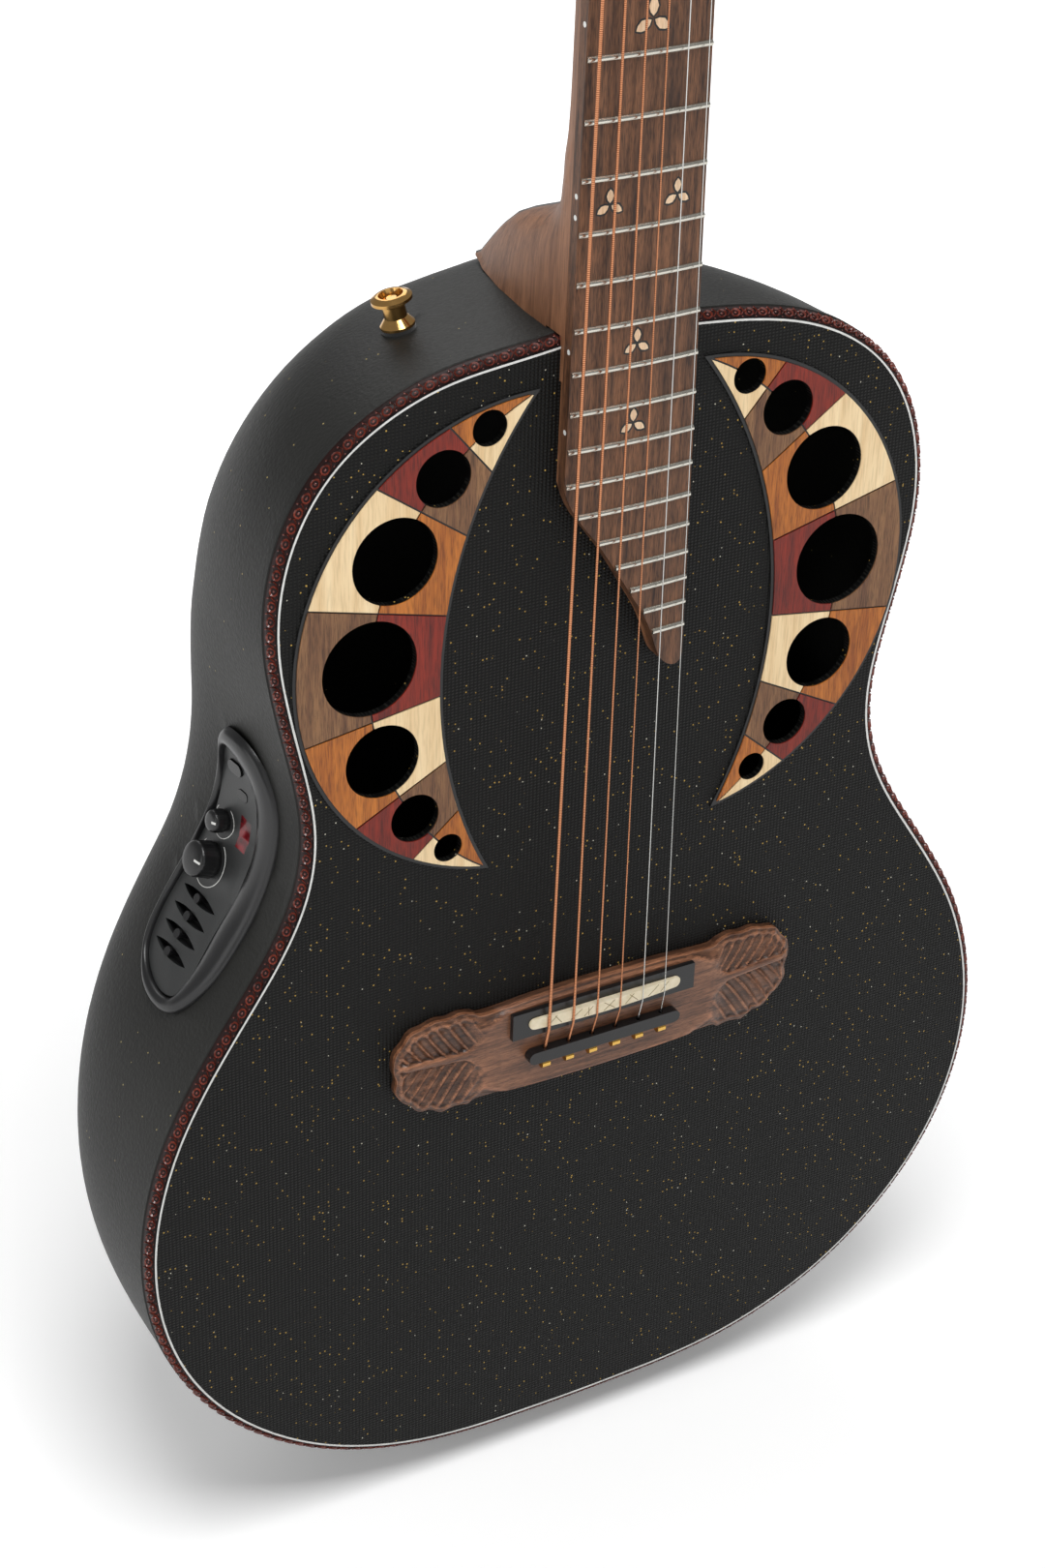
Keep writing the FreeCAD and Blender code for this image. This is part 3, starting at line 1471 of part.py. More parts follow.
# Strap button on the bass shoulder and its washer
centre_z = bowl_form_shares["centre"] * float(s.body_length)
strap_start = Vector(-float(s.strap_button_x), float(s.strap_button_y), centre_z)
strap_point, strap_outwards = bowl_touch(strap_start, UP)
strap_rotation = Rotation(UP, strap_outwards)
washer_top = float(s.strap_washer_thickness)
strap_washer = placed(
    Part.makeCylinder(float(s.strap_button_foot), washer_top + over, Vector(0, 0, -over)),
    strap_point, strap_rotation,
).cut(bowl_outside)
foot_z = s.strap_washer_thickness
neck_top = foot_z + s.strap_button_height - s.strap_button_flange - s.strap_button_slope
dish_z = foot_z + s.strap_button_height - s.strap_button_dish_depth
strap_button = turned("strap_button", [
    (s.screw_radius, foot_z),
    (s.strap_button_foot, foot_z),
    (s.strap_button_foot, foot_z + s.strap_button_slope / 2),
    (s.strap_button_neck, foot_z + s.strap_button_slope * 2),
    (s.strap_button_neck, neck_top),
    (s.strap_button_radius, neck_top + s.strap_button_slope),
    (s.strap_button_radius, neck_top + s.strap_button_slope + s.strap_button_flange / 2),
    (s.strap_button_dish + s.strap_button_slope / 2, foot_z + s.strap_button_height),
    (s.strap_button_dish, foot_z + s.strap_button_height),
    (s.screw_head_radius, dish_z),
    (s.screw_radius, dish_z),
])
shank_top = float(dish_z)
strap_screw = Part.makeCylinder(
    float(s.screw_radius), float(s.screw_length), Vector(0, 0, shank_top - float(s.screw_length))
).fuse(Part.makeCone(
    float(s.screw_head_radius) * 0.96, float(s.screw_radius), float(s.screw_head_height),
    Vector(0, 0, shank_top),
))
strap_screw = placed(strap_screw.removeSplitter(), strap_point, strap_rotation)
strap_washer = strap_washer.cut(strap_screw)

# Tail pin with the output jack in it
pin_z = float(origin_z)
tail_place = Vector(0, float(s.tail_pin_y), 0)
tail_washer = Part.makeCylinder(
    float(s.tail_pin_radius), washer_top + 2 * over, tail_place + UP * (float(tail_surface_z) - washer_top)
).cut(bowl_outside)
barrel = Part.makeCylinder(
    float(s.jack_barrel_radius), float(s.jack_length), tail_place + UP * pin_z
)
tail_washer = tail_washer.cut(barrel)
pin_seat = s.tail_pin_height - s.strap_washer_thickness
end_pin_jack = turned("end_pin_jack", [
    (s.jack_bore_radius, ZERO),
    (s.tail_pin_radius - s.tail_pin_flange / 4, ZERO),
    (s.tail_pin_radius, s.tail_pin_flange / 4),
    (s.tail_pin_radius, s.tail_pin_flange),
    (s.tail_pin_neck, s.tail_pin_flange * 1.6),
    (s.tail_pin_neck, pin_seat - s.tail_pin_flange),
    (s.tail_pin_radius, pin_seat - s.tail_pin_flange / 2),
    (s.tail_pin_radius, pin_seat),
    (s.jack_barrel_radius, pin_seat),
    (s.jack_barrel_radius, s.jack_length),
    (ZERO, s.jack_length),
    (ZERO, s.jack_bore_length),
    (s.jack_bore_radius, s.jack_bore_length),
])
hexagon = [
    tail_place + Rotation(UP, 60 * corner).multVec(RIGHT) * float(s.jack_nut_radius) for corner in range(6)
]
jack_nut = Part.Face(Part.makePolygon(hexagon + hexagon[:1])).extrude(
    UP * (float(s.bowl_setback + s.bowl_wall + s.jack_nut_thickness) + float(s.bowl_setback))
).common(bowl_inside).cut(barrel)

# Neck block inside the bowl and the bolts through it
block_half = float(s.neck_block_width) / 2
block_front = float(s.top_thickness + s.ledge_depth)
block_low = float(s.body_length - s.neck_block_length)
neck_block = box_between(
    (-block_half, block_front, block_low), (block_half, block_front + float(s.neck_block_depth), heel_foot)
).common(bowl_inside)
bolts = []
bolt_holes = []
for index in range(2):
    place = Vector(0, float(s.neck_bolt_first_y) + index * float(s.neck_bolt_spacing), block_low)
    bolt_length = heel_foot + float(s.neck_bolt_reach) - block_low
    shank = Part.makeCylinder(float(s.neck_bolt_radius), bolt_length, place)
    head_base = place - UP * float(s.neck_bolt_head)
    head = Part.makeCylinder(float(s.neck_bolt_head_radius), float(s.neck_bolt_head), head_base)
    bolts.append(shank.fuse(head))
    hole_radius = float(s.neck_bolt_radius + s.neck_bolt_fit)
    bolt_holes.append(Part.makeCylinder(hole_radius, bolt_length + float(s.neck_bolt_fit), place))
neck_block = neck_block.cut(bolt_holes)
neck = neck.cut(bolt_holes)

ledge_outer = s.bowl_setback + s.bowl_wall + s.ledge_fit
ledge_inner = s.binding_width + s.ledge_width
ledge_back = s.top_thickness + s.ledge_depth
ledge_share = float(ledge_back - s.binding_depth) / float(
    s.bowl_depth - s.bowl_wall - s.bowl_crown - s.binding_depth
)
bowl = skin([level_ring(ledge_outer, y) for y in (s.top_thickness, s.binding_depth)] + bowl_rings())
bowl_room = skin(
    [level_ring(ledge_inner, y) for y in (s.top_thickness - s.overrun, ledge_back)]
    + bowl_rings(-s.bowl_wall, ledge_share)
)
bowl = bowl.cut([bowl_room, cutout, barrel, strap_screw] + bolt_holes)
feature("bowl", bowl)
feature("neck_block", neck_block)
feature("neck_bolts", group(bolts))
feature("jack_nut", jack_nut)
feature("strap_washers", group([strap_washer, tail_washer]))
seat(strap_button, "strap_button", tuple(strap_point), strap_rotation)
seat(end_pin_jack, "end_pin_jack", (ZERO, s.tail_pin_y, origin_z))
feature("preamp_bezel", bezel)
feature("preamp_panel", panel_plate)
feature("preamp_housing", preamp_housing)
feature("tuner_display", display)
for name, knob, point, rotation in knobs:
    seat(knob, name, tuple(point), rotation)
for index, (shape, point, rotation) in enumerate(sliders, start=1):
    feature(f"slider_{index}", shape, tuple(point), rotation)
for index, (shape, point, rotation) in enumerate(pushes, start=1):
    feature(f"push_button_{index}", shape, tuple(point), rotation)
head_place = (ZERO, head_y, head_z)
feature("headstock_veneer", head_face, head_place, HEAD_TURN)
feature("tuner_housings", group([at_tuner(housing, tuner) for tuner in tuners]), head_place, HEAD_TURN)
feature("tuner_bushings", group([at_tuner(bushing, tuner) for tuner in tuners]), head_place, HEAD_TURN)
feature("strap_screw", strap_screw)
for index, tuner in enumerate(tuners, start=1):
    feature(f"tuner_key_{index}", at_tuner(key, tuner), head_place, HEAD_TURN)
    feature(f"tuner_post_{index}", at_tuner(post, tuner), head_place, HEAD_TURN)

feature("soundboard", soundboard)
feature("panel_backings", group(mirror_both([backing])))
for wood in woods:
    feature(f"panel_{wood}", group(mirror_both(inlaid[wood])))
feature("braces", group(braces + [bridge_plate]))
feature("rim_binding", rim_ring(0, s.binding_width, 0, s.binding_depth))
feature("purfling", rim_ring(s.binding_width, body_rear, 0, s.top_thickness))
feature("neck", neck)
feature("heel_cap", heel_cap)
feature("fingerboard", board)
feature("frets", group(frets))
feature("fret_inlays", group(petals))
feature("side_dots", group(side_dots))
feature("nut", nut)
feature("bridge", bridge)
feature("saddle_tray", tray)
feature("pickup", pickup)
feature("saddle", saddle)
feature("anchor_bar", bar)
feature("ball_ends", group(balls))
feature("wound_strings", group(strings[:4]))
feature("plain_strings", group(strings[4:]))
doc.recompute()
for piece in nodes:
    shape = piece.Shape
    if "Invalid" in piece.State or "Error" in piece.State or shape.isNull() or not shape.isValid():
        raise RuntimeError(f"{piece.Label} did not build")
    shape.exportStep(f"parts/{piece.Label}.step")
    print(piece.Label, len(shape.Solids), round(shape.Volume))
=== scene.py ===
"""An acoustic-electric guitar with a moulded round back, standing upright on its tail."""
import json
import math

import bmesh
import bpy
import numpy
from mathutils import Matrix, Vector
from mathutils.bvhtree import BVHTree

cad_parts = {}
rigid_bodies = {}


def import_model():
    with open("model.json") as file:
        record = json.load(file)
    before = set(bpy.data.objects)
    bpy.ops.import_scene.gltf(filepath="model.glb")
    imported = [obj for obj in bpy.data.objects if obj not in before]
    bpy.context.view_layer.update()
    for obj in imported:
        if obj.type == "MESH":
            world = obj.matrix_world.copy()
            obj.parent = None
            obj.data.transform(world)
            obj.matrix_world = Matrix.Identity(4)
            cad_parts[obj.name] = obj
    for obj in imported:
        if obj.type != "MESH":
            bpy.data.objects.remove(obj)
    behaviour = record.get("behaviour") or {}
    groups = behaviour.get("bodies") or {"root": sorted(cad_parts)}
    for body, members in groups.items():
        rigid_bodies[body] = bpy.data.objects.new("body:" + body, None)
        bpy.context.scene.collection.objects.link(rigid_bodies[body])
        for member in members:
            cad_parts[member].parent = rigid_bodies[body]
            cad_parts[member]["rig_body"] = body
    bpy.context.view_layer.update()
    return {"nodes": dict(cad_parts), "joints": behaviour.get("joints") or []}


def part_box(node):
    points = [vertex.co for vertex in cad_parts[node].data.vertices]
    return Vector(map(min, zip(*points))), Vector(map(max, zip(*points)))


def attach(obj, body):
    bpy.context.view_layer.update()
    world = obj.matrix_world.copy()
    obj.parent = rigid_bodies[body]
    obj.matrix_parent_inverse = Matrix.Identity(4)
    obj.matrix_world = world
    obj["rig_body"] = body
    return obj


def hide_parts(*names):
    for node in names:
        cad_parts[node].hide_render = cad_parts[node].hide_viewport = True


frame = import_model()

MM = 0.001
nodes = frame["nodes"]

# The studio: a plain pale floor, which shows white and keeps the guitar's shadow, a large
# softbox over the player's side and a weaker one at the left, as in the photograph.


def linear(text):
    """The linear colour of an sRGB hex value."""
    parts = [int(text[place:place + 2], 16) / 255 for place in (1, 3, 5)]
    return (*[part / 12.92 if part <= 0.04045 else ((part + 0.055) / 1.055) ** 2.4 for part in parts], 1)


def add(tree, kind, inputs=None, **settings):
    """One node of a tree with its settings and its input values or links."""
    node = tree.nodes.new(kind)
    for name, value in settings.items():
        setattr(node, name, value)
    for name, value in (inputs or {}).items():
        if isinstance(value, bpy.types.NodeSocket):
            tree.links.new(value, node.inputs[name])
        else:
            node.inputs[name].default_value = value
    return node


def maths(tree, operation, first, second):
    """What one operation makes of two values."""
    return add(tree, "ShaderNodeMath", {0: first, 1: second}, operation=operation).outputs[0]


def ranged(tree, value, low, high, start=0, end=1):
    """A value that goes from low to high while another goes from start to end."""
    return add(tree, "ShaderNodeMapRange", {
        "Value": value, "From Min": start, "From Max": end, "To Min": low, "To Max": high,
    }).outputs[0]


def object_from(name, mesh):
    piece = bpy.data.objects.new(name, mesh)
    bpy.context.scene.collection.objects.link(piece)
    return piece


scene = bpy.context.scene
scene.view_settings.view_transform = "Standard"

camera_data = bpy.data.cameras.new("photo_camera")
camera_data.lens = 67.875
camera_data.sensor_width = 36
camera_data.clip_start = 0.01
camera = object_from("photo_camera", camera_data)
camera.matrix_world = Matrix((
    (0.8725, 0.2283, -0.4320, -0.5187),
    (-0.4878, 0.4565, -0.7441, -0.8715),
    (0.0274, 0.8599, 0.5097, 0.9059),
    (0, 0, 0, 1),
))
scene.camera = camera

world = bpy.data.worlds.new("studio_air")
world.use_nodes = True
world.node_tree.nodes.clear()
rays = add(world.node_tree, "ShaderNodeLightPath").outputs
seen = maths(world.node_tree, "MAXIMUM", rays["Is Camera Ray"], rays["Is Transmission Ray"])
strength = ranged(world.node_tree, seen, 0.29, 1)
air = add(world.node_tree, "ShaderNodeBackground", {"Color": (1, 1, 1, 1), "Strength": strength})
add(world.node_tree, "ShaderNodeOutputWorld", {"Surface": air.outputs[0]})
scene.world = world

floor_paint = bpy.data.materials.new("white_studio_floor")
floor_paint.use_nodes = True
tree = floor_paint.node_tree
tree.nodes.clear()
rays = add(tree, "ShaderNodeLightPath").outputs
mirrored = maths(tree, "MAXIMUM", rays["Is Glossy Ray"], rays["Is Transmission Ray"])
place = add(tree, "ShaderNodeTexCoord").outputs["Object"]
away = add(tree, "ShaderNodeVectorMath", {0: place}, operation="LENGTH").outputs["Value"]
# away from the guitar, where the lamps hardly reach, the floor lights itself
far = ranged(tree, away, 0.14, 0.85, 0.3, 2.2)
lift = maths(tree, "MAXIMUM", far, maths(tree, "MULTIPLY", mirrored, 0.3))
glow = add(tree, "ShaderNodeEmission", {"Color": (1, 1, 1, 1), "Strength": lift})
paint = add(tree, "ShaderNodeBsdfDiffuse", {"Color": ranged(tree, rays["Is Camera Ray"], 0.79, 1)})
both = add(tree, "ShaderNodeAddShader", {0: glow.outputs[0], 1: paint.outputs[0]})
add(tree, "ShaderNodeOutputMaterial", {"Surface": both.outputs[0]})
floor_half = 20
floor_corners = [(x * floor_half, y * floor_half, 0) for x, y in ((-1, -1), (1, -1), (1, 1), (-1, 1))]
floor_mesh = bpy.data.meshes.new("studio_floor")
floor_mesh.from_pydata(floor_corners, [], [(0, 1, 2, 3)])
floor_mesh.materials.append(floor_paint)
object_from("studio_floor", floor_mesh)

softboxes = {
    "overhead_softbox": ((-0.25, -0.75, 2.5), (0, 0, 0.35), 1.2, 43),
    "left_softbox": ((-2.2, -0.5, 0.9), (0, 0, 0.3), 1.2, 6.5),
    "front_softbox": ((-0.5, -2.4, 1.3), (0, 0, 0.4), 2.0, 6),
    "back_softbox": ((0.6, 1.9, 1.9), (0, 0, 0.4), 1.5, 12),
}
for name, (place, aim, width, power) in softboxes.items():
    lamp = bpy.data.lights.new(name, "AREA")
    lamp.size = width
    lamp.energy = power
    stand = object_from(name, lamp)
    stand.location = place
    stand.rotation_euler = (Vector(aim) - Vector(place)).to_track_quat("-Z", "Y").to_euler()

# The round back is one shell of glass cloth and resin, pressed in a mould. Its skin is charcoal,
# nearly matte, with the mould's fine leathery grain and a few gold flecks, glued to the rim.


def begin(name):
    """A new material and where its pattern lies on the piece, in metres."""
    material = bpy.data.materials.new(name)
    material.use_nodes = True
    material.node_tree.nodes.clear()
    place = add(material.node_tree, "ShaderNodeTexCoord").outputs["Object"]
    return material, material.node_tree, place


def complete(tree, inputs, height=None, depth=0.0):
    """Ends a material in its shader, with a bump of a depth in metres where it has one."""
    if height is not None:
        bump = add(tree, "ShaderNodeBump", {"Height": height, "Distance": depth, "Strength": 1.0})
        inputs = dict(inputs, Normal=bump.outputs[0])
    shader = add(tree, "ShaderNodeBsdfPrincipled", inputs)
    add(tree, "ShaderNodeOutputMaterial", {"Surface": shader.outputs[0]})


def noise(tree, place, scale, detail=2, **more):
    """A cloudy value that varies over a piece."""
    inputs = {"Vector": place, "Scale": scale, "Detail": detail, **more}
    return add(tree, "ShaderNodeTexNoise", inputs).outputs[0]


def ramp(tree, value, *stops):
    """A colour that goes from the first stop to the second as a value grows."""
    node = add(tree, "ShaderNodeValToRGB", {"Fac": value})
    for stop, (place, colour) in zip(node.color_ramp.elements, stops):
        stop.position = place
        stop.color = linear(colour)
    return node.outputs[0]


def blend(tree, share, first, second, way="MIX"):
    """Two colours brought together by a share."""
    inputs = {0: share, 6: first, 7: second}
    return add(tree, "ShaderNodeMix", inputs, data_type="RGBA", blend_type=way).outputs[2]


def flecks(tree, place, spacing, radius, share):
    """Round flecks strewn over a surface: 1 on a fleck and 0 beside it."""
    cells = add(tree, "ShaderNodeTexVoronoi", {"Vector": place, "Scale": 1 / spacing})
    near = maths(tree, "LESS_THAN", cells.outputs["Distance"], radius / spacing)
    pick = add(tree, "ShaderNodeSeparateColor", {"Color": cells.outputs["Color"]})
    return maths(tree, "MULTIPLY", near, maths(tree, "LESS_THAN", pick.outputs[0], share))


def mesh_of(name, form):
    """The mesh that a finished form becomes."""
    mesh = bpy.data.meshes.new(name)
    form.to_mesh(mesh)
    form.free()
    return mesh


def shade_smooth(form, angle):
    """Shades a form smooth, but for a crease at each edge that bends by more than an angle."""
    for face in form.faces:
        face.smooth = True
    for edge in form.edges:
        edge.smooth = edge.is_manifold and edge.calc_face_angle(0) < math.radians(angle)


def close_copy(node, angle):
    """A copy of a CAD node with its faces joined and shaded smooth up to an angle."""
    form = bmesh.new()
    form.from_mesh(nodes[node].data)
    bmesh.ops.remove_doubles(form, verts=form.verts, dist=1e-6)
    for face in form.faces:
        face.material_index = 0
    shade_smooth(form, angle)
    mesh = mesh_of(f"{node}_form", form)
    if "custom_normal" in mesh.attributes:
        mesh.attributes.remove(mesh.attributes["custom_normal"])
    piece = object_from(mesh.name, mesh)
    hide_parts(node)
    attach(piece, nodes[node]["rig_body"])
    return piece


def dress(piece, material):
    piece.data.materials.clear()
    piece.data.materials.append(material)


def smooth(mesh, angle):
    """Turns a mesh's faces outwards and shades it smooth up to an angle."""
    form = bmesh.new()
    form.from_mesh(mesh)
    bmesh.ops.recalc_face_normals(form, faces=form.faces)
    shade_smooth(form, angle)
    form.to_mesh(mesh)
    form.free()


def rounded(mesh, angle, largest_bend=0.12):
    """Halves every edge of a mesh of triangles and bends it to the curve that its normals tell.

    A bend past a share of its edge comes from a stray normal, and that edge stays straight.
    """
    spots = [vert.co.copy() for vert in mesh.vertices]
    normals = [Vector(corner.vector) for corner in mesh.corner_normals]
    shifts = {}
    corners = []
    for face in mesh.polygons:
        ends = [(mesh.loops[index].vertex_index, normals[index]) for index in face.loop_indices]
        corners.append([vertex for vertex, _ in ends])
        for (a, a_normal), (b, b_normal) in zip(ends, ends[1:] + ends[:1]):
            half = (spots[b] - spots[a]) / 2
            bend = (b_normal * half.dot(b_normal) - a_normal * half.dot(a_normal)) / 4
            shifts.setdefault((min(a, b), max(a, b)), []).append((bend, face.normal.copy()))
    middles = {}
    for (a, b), bends in shifts.items():
        total = sum((bend for bend, _ in bends), Vector())
        if len(bends) == 2 and bends[0][1].angle(bends[1][1], 0) < math.radians(angle):
            total /= 2
        limit = (spots[b] - spots[a]).length * largest_bend
        middles[(a, b)] = len(spots)
        spots.append((spots[a] + spots[b]) / 2 + (total if total.length < limit else Vector()))
    faces = []
    for a, b, c in corners:
        ab, bc, ca = [middles[(min(pair), max(pair))] for pair in ((a, b), (b, c), (c, a))]
        faces += [(a, ab, ca), (ab, b, bc), (ca, bc, c), (ab, bc, ca)]
    mesh.clear_geometry()
    mesh.from_pydata(spots, [], faces)
    form = bmesh.new()
    form.from_mesh(mesh)
    shade_smooth(form, angle)
    form.to_mesh(mesh)
    form.free()


bowl_skin, tree, place = begin("moulded_glass_fibre_shell")
grain = noise(tree, place, 1 / 0.0016, 3)
tone = ramp(tree, noise(tree, place, 1 / 0.09), (0.3, "#1b1b1a"), (0.7, "#232321"))
gold = flecks(tree, place, 0.0042, 0.00034, 0.22)
# a fine pebbled grain breaks up every highlight
complete(tree, {
    "Base Color": blend(tree, gold, tone, linear("#a08f5c")),
    "Roughness": ranged(tree, grain, 0.42, 0.58), "Specular IOR Level": 0.2,
}, grain, 0.00022)
bowl = close_copy("bowl", 35)
for _ in range(2):
    rounded(bowl.data, 35)
dress(bowl, bowl_skin)

# The soundboard is a laminated plate with a black knitted skin: fine ribs run up the body, crossed
# by small stitches, with gold flecks in the lacquer. It lies in the rim, inside the binding.

def waves(tree, place, pitch, way, **more):
    """A value that rises and falls along one axis, once in each pitch."""
    # the texture repeats every tenth of pi
    inputs = {"Vector": place, "Scale": 0.314159 / pitch, **more}
    return add(tree, "ShaderNodeTexWave", inputs, bands_direction=way).outputs["Fac"]


knit, tree, place = begin("black_knitted_carbon_skin")
rib_pitch = 0.00157
stitch_pitch = 0.0013
cloth = maths(tree, "MULTIPLY", waves(tree, place, rib_pitch, "X"), waves(tree, place, stitch_pitch, "Z"))
thread = ramp(tree, cloth, (0.0, "#060606"), (0.8, "#1d1d1b"))
gold = flecks(tree, place, 0.0022, 0.00033, 0.34)
pale = flecks(tree, place, 0.0036, 0.00028, 0.24)
flecked = blend(tree, pale, blend(tree, gold, thread, linear("#b08f45")), linear("#c9c5b4"))
complete(tree, {"Base Color": flecked, "Roughness": 0.46, "Specular IOR Level": 0.16}, cloth, 0.00035)
dress(nodes["soundboard"], knit)

# Four woods are inlaid round the sound holes as two mirrored crescents, each on a black backing
# whose lines show between the pieces. They are sawn veneers, sanded flush and oiled to a satin.


def wood(name, dark, light, along, pitch, roughness=0.42, pores=0.5, sheen=0.0):
    """A wood whose grain runs along one axis, with streaks a few grain widths across."""
    material, tree, place = begin(name)
    run = 14
    scale = [1 / pitch] * 3
    scale["XYZ".index(along)] = 1 / (pitch * run)
    laid = add(tree, "ShaderNodeMapping", {"Vector": place, "Scale": scale}).outputs[0]
    wide = noise(tree, laid, 0.35, 2, Distortion=0.6)
    grain = noise(tree, laid, 1.0, 5, Roughness=0.6)
    fine = noise(tree, laid, 4.0, 3)
    streak = maths(tree, "MULTIPLY", maths(tree, "ADD", wide, grain), 0.5)
    tone = ramp(tree, streak, (0.36, dark), (0.62, light))
    pore = ranged(tree, fine, 1 - pores, 1, 0.36, 0.52)
    complete(tree, {
        "Base Color": blend(tree, 1.0, tone, pore, "MULTIPLY"), "Roughness": roughness,
        "Specular IOR Level": 0.36, "Coat Weight": sheen, "Coat Roughness": 0.25,
    }, fine, 0.00006)
    return material


panel_woods = {
    "panel_mahogany": wood("sawn_mahogany", "#8a4815", "#bb6f28", "Z", 0.0016, pores=0.35),
    "panel_padauk": wood("sawn_padauk", "#5f150a", "#86230f", "Z", 0.0018, pores=0.4),
    "panel_maple": wood("sawn_flamed_maple", "#d9b98a", "#ecd3a8", "Z", 0.0030, pores=0.12),
    "panel_walnut": wood("sawn_walnut", "#5b3a26", "#86603f", "Z", 0.0014, pores=0.4),
}
for name, material in panel_woods.items():
    dress(nodes[name], material)
dress(nodes["braces"], wood("raw_spruce", "#b88a54", "#d6b27c", "X", 0.0012, pores=0.15, roughness=0.6))
dress(nodes["neck_block"], wood("raw_mahogany_block", "#7b4a2a", "#a06a42", "Z", 0.0014, roughness=0.6))


def moulded(name, hex_colour, roughness, grain=0.0009, depth=0.00004):
    """A moulded plastic or vulcanised fibre with the fine texture of its mould."""
    material, tree, place = begin(name)
    wear = noise(tree, place, 1 / 0.02)
    dark = [part * 0.86 for part in linear(hex_colour)[:3]] + [1]
    complete(tree, {
        "Base Color": blend(tree, wear, dark, linear(hex_colour)),
        "Roughness": ranged(tree, wear, roughness * 0.8, roughness * 1.2),
    }, noise(tree, place, 1 / grain), depth)
    return material


black_fibre = moulded("black_vulcanised_fibre", "#101011", 0.45)
dress(nodes["panel_backings"], black_fibre)

# The binding is a burgundy moulding glued round the rim. Its front corner is rounded and cast with
# a row of small rings, each with a boss and a curled tail, and the lot is lacquered glossy.
# A thin pale strip of celluloid is let in beside it, with a black line between the two.

purfling_plastic, tree, place = begin("pale_grey_celluloid_strip")
tone = ramp(tree, noise(tree, place, 1 / 0.004), (0.3, "#c9c9c6"), (0.7, "#dcdcd9"))
complete(tree, {"Base Color": tone, "Roughness": 0.35})


def join_rows(form, rows, around=False):
    """Faces from each ring of vertices to the next and, where asked, from the last to the first."""
    for row, after in zip(rows, rows[1:] + rows[:1] if around else rows[1:]):
        for step in range(len(row)):
            following = (step + 1) % len(row)
            form.faces.new((row[step], row[following], after[following], after[step]))


def swept(name, path, frames, section):
    """A solid that carries one closed section along a closed path of (across, back) directions."""
    form = bmesh.new()
    join_rows(form, [
        [form.verts.new(point + across * u + back * v) for u, v in section]
        for point, (across, back) in zip(path, frames)
    ], True)
    return mesh_of(name, form)


waist_centre = Vector((0, 0, 0.3))
wall_points = {}
for face in nodes["rim_binding"].data.polygons:
    outward = face.center - waist_centre
    outward.y = 0
    if abs(face.normal.y) > 0.1 or face.normal.dot(outward.normalized()) < 0.1:
        continue
    for index in face.vertices:
        spot = nodes["rim_binding"].data.vertices[index].co
        if spot.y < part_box("rim_binding")[0].y + 0.2 * MM:
            wall_points[(round(spot.x, 5), round(spot.z, 5))] = spot.copy()
rim_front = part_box("rim_binding")[0].y
loop = sorted(wall_points.values(), key=lambda spot: math.atan2(spot.x, spot.z - waist_centre.z))
loop = numpy.array([(spot.x, spot.z) for spot in loop])
closed_loop = numpy.vstack([loop, loop[:1]])
lengths = numpy.concatenate([[0], numpy.cumsum(numpy.linalg.norm(numpy.diff(closed_loop, axis=0), axis=1))])
scroll_count = 250
station_count = scroll_count * 3
stations = numpy.linspace(0, lengths[-1], station_count, endpoint=False)
rim = numpy.stack([numpy.interp(stations, lengths, closed_loop[:, axis]) for axis in (0, 1)], axis=1)
for _ in range(6):
    rim = (numpy.roll(rim, 1, 0) + 2 * rim + numpy.roll(rim, -1, 0)) / 4
along = numpy.roll(rim, -1, 0) - numpy.roll(rim, 1, 0)
along /= numpy.linalg.norm(along, axis=1)[:, None]
back_way = Vector((0, 1, 0))
rim_path = [Vector((x, rim_front, z)) for x, z in rim]
rim_frames = [(Vector((tz, 0, -tx)), back_way) for tx, tz in along]
probe, (probe_across, _) = rim_path[0], rim_frames[0]
if probe_across.dot(probe - waist_centre) > 0:
    rim_frames = [(across * -1, back) for across, back in rim_frames]

corner_radius = 3.0 * MM
relief = 0.75 * MM
moulding_width = 3.5 * MM
purfling_width = 1 * MM
pale_width = 0.85 * MM
moulding_depth = 9 * MM
corner_steps = 6
corner = [
    (
        relief + corner_radius - corner_radius * math.cos(turn),
        relief + corner_radius - corner_radius * math.sin(turn),
    )
    for turn in [math.pi / 2 * step / corner_steps for step in range(corner_steps + 1)]
]
lip_start = 5.6 * MM
lip_inset = 0.25 * MM
moulding_section = [
    (moulding_width, moulding_depth), (lip_inset, moulding_depth),
    (lip_inset, lip_start + 0.4 * MM), (relief, lip_start),
] + corner + [(moulding_width, relief * 0.6)]
moulding = swept("rim_moulding", rim_path, rim_frames, moulding_section)
smooth(moulding, 50)


def celluloid(name, dark, light, roughness, gloss, coat):
    """A swirled celluloid, cast in a mould: a little uneven in colour, with fine pits."""
    material, tree, place = begin(name)
    tone = ramp(tree, noise(tree, place, 1 / 0.006, 3), (0.3, dark), (0.7, light))
    complete(tree, {
        "Base Color": tone, "Roughness": roughness, "Specular IOR Level": gloss,
        "Coat Weight": coat, "Coat Roughness": 0.12,
    }, noise(tree, place, 1 / 0.0011), 0.00015)
    return material


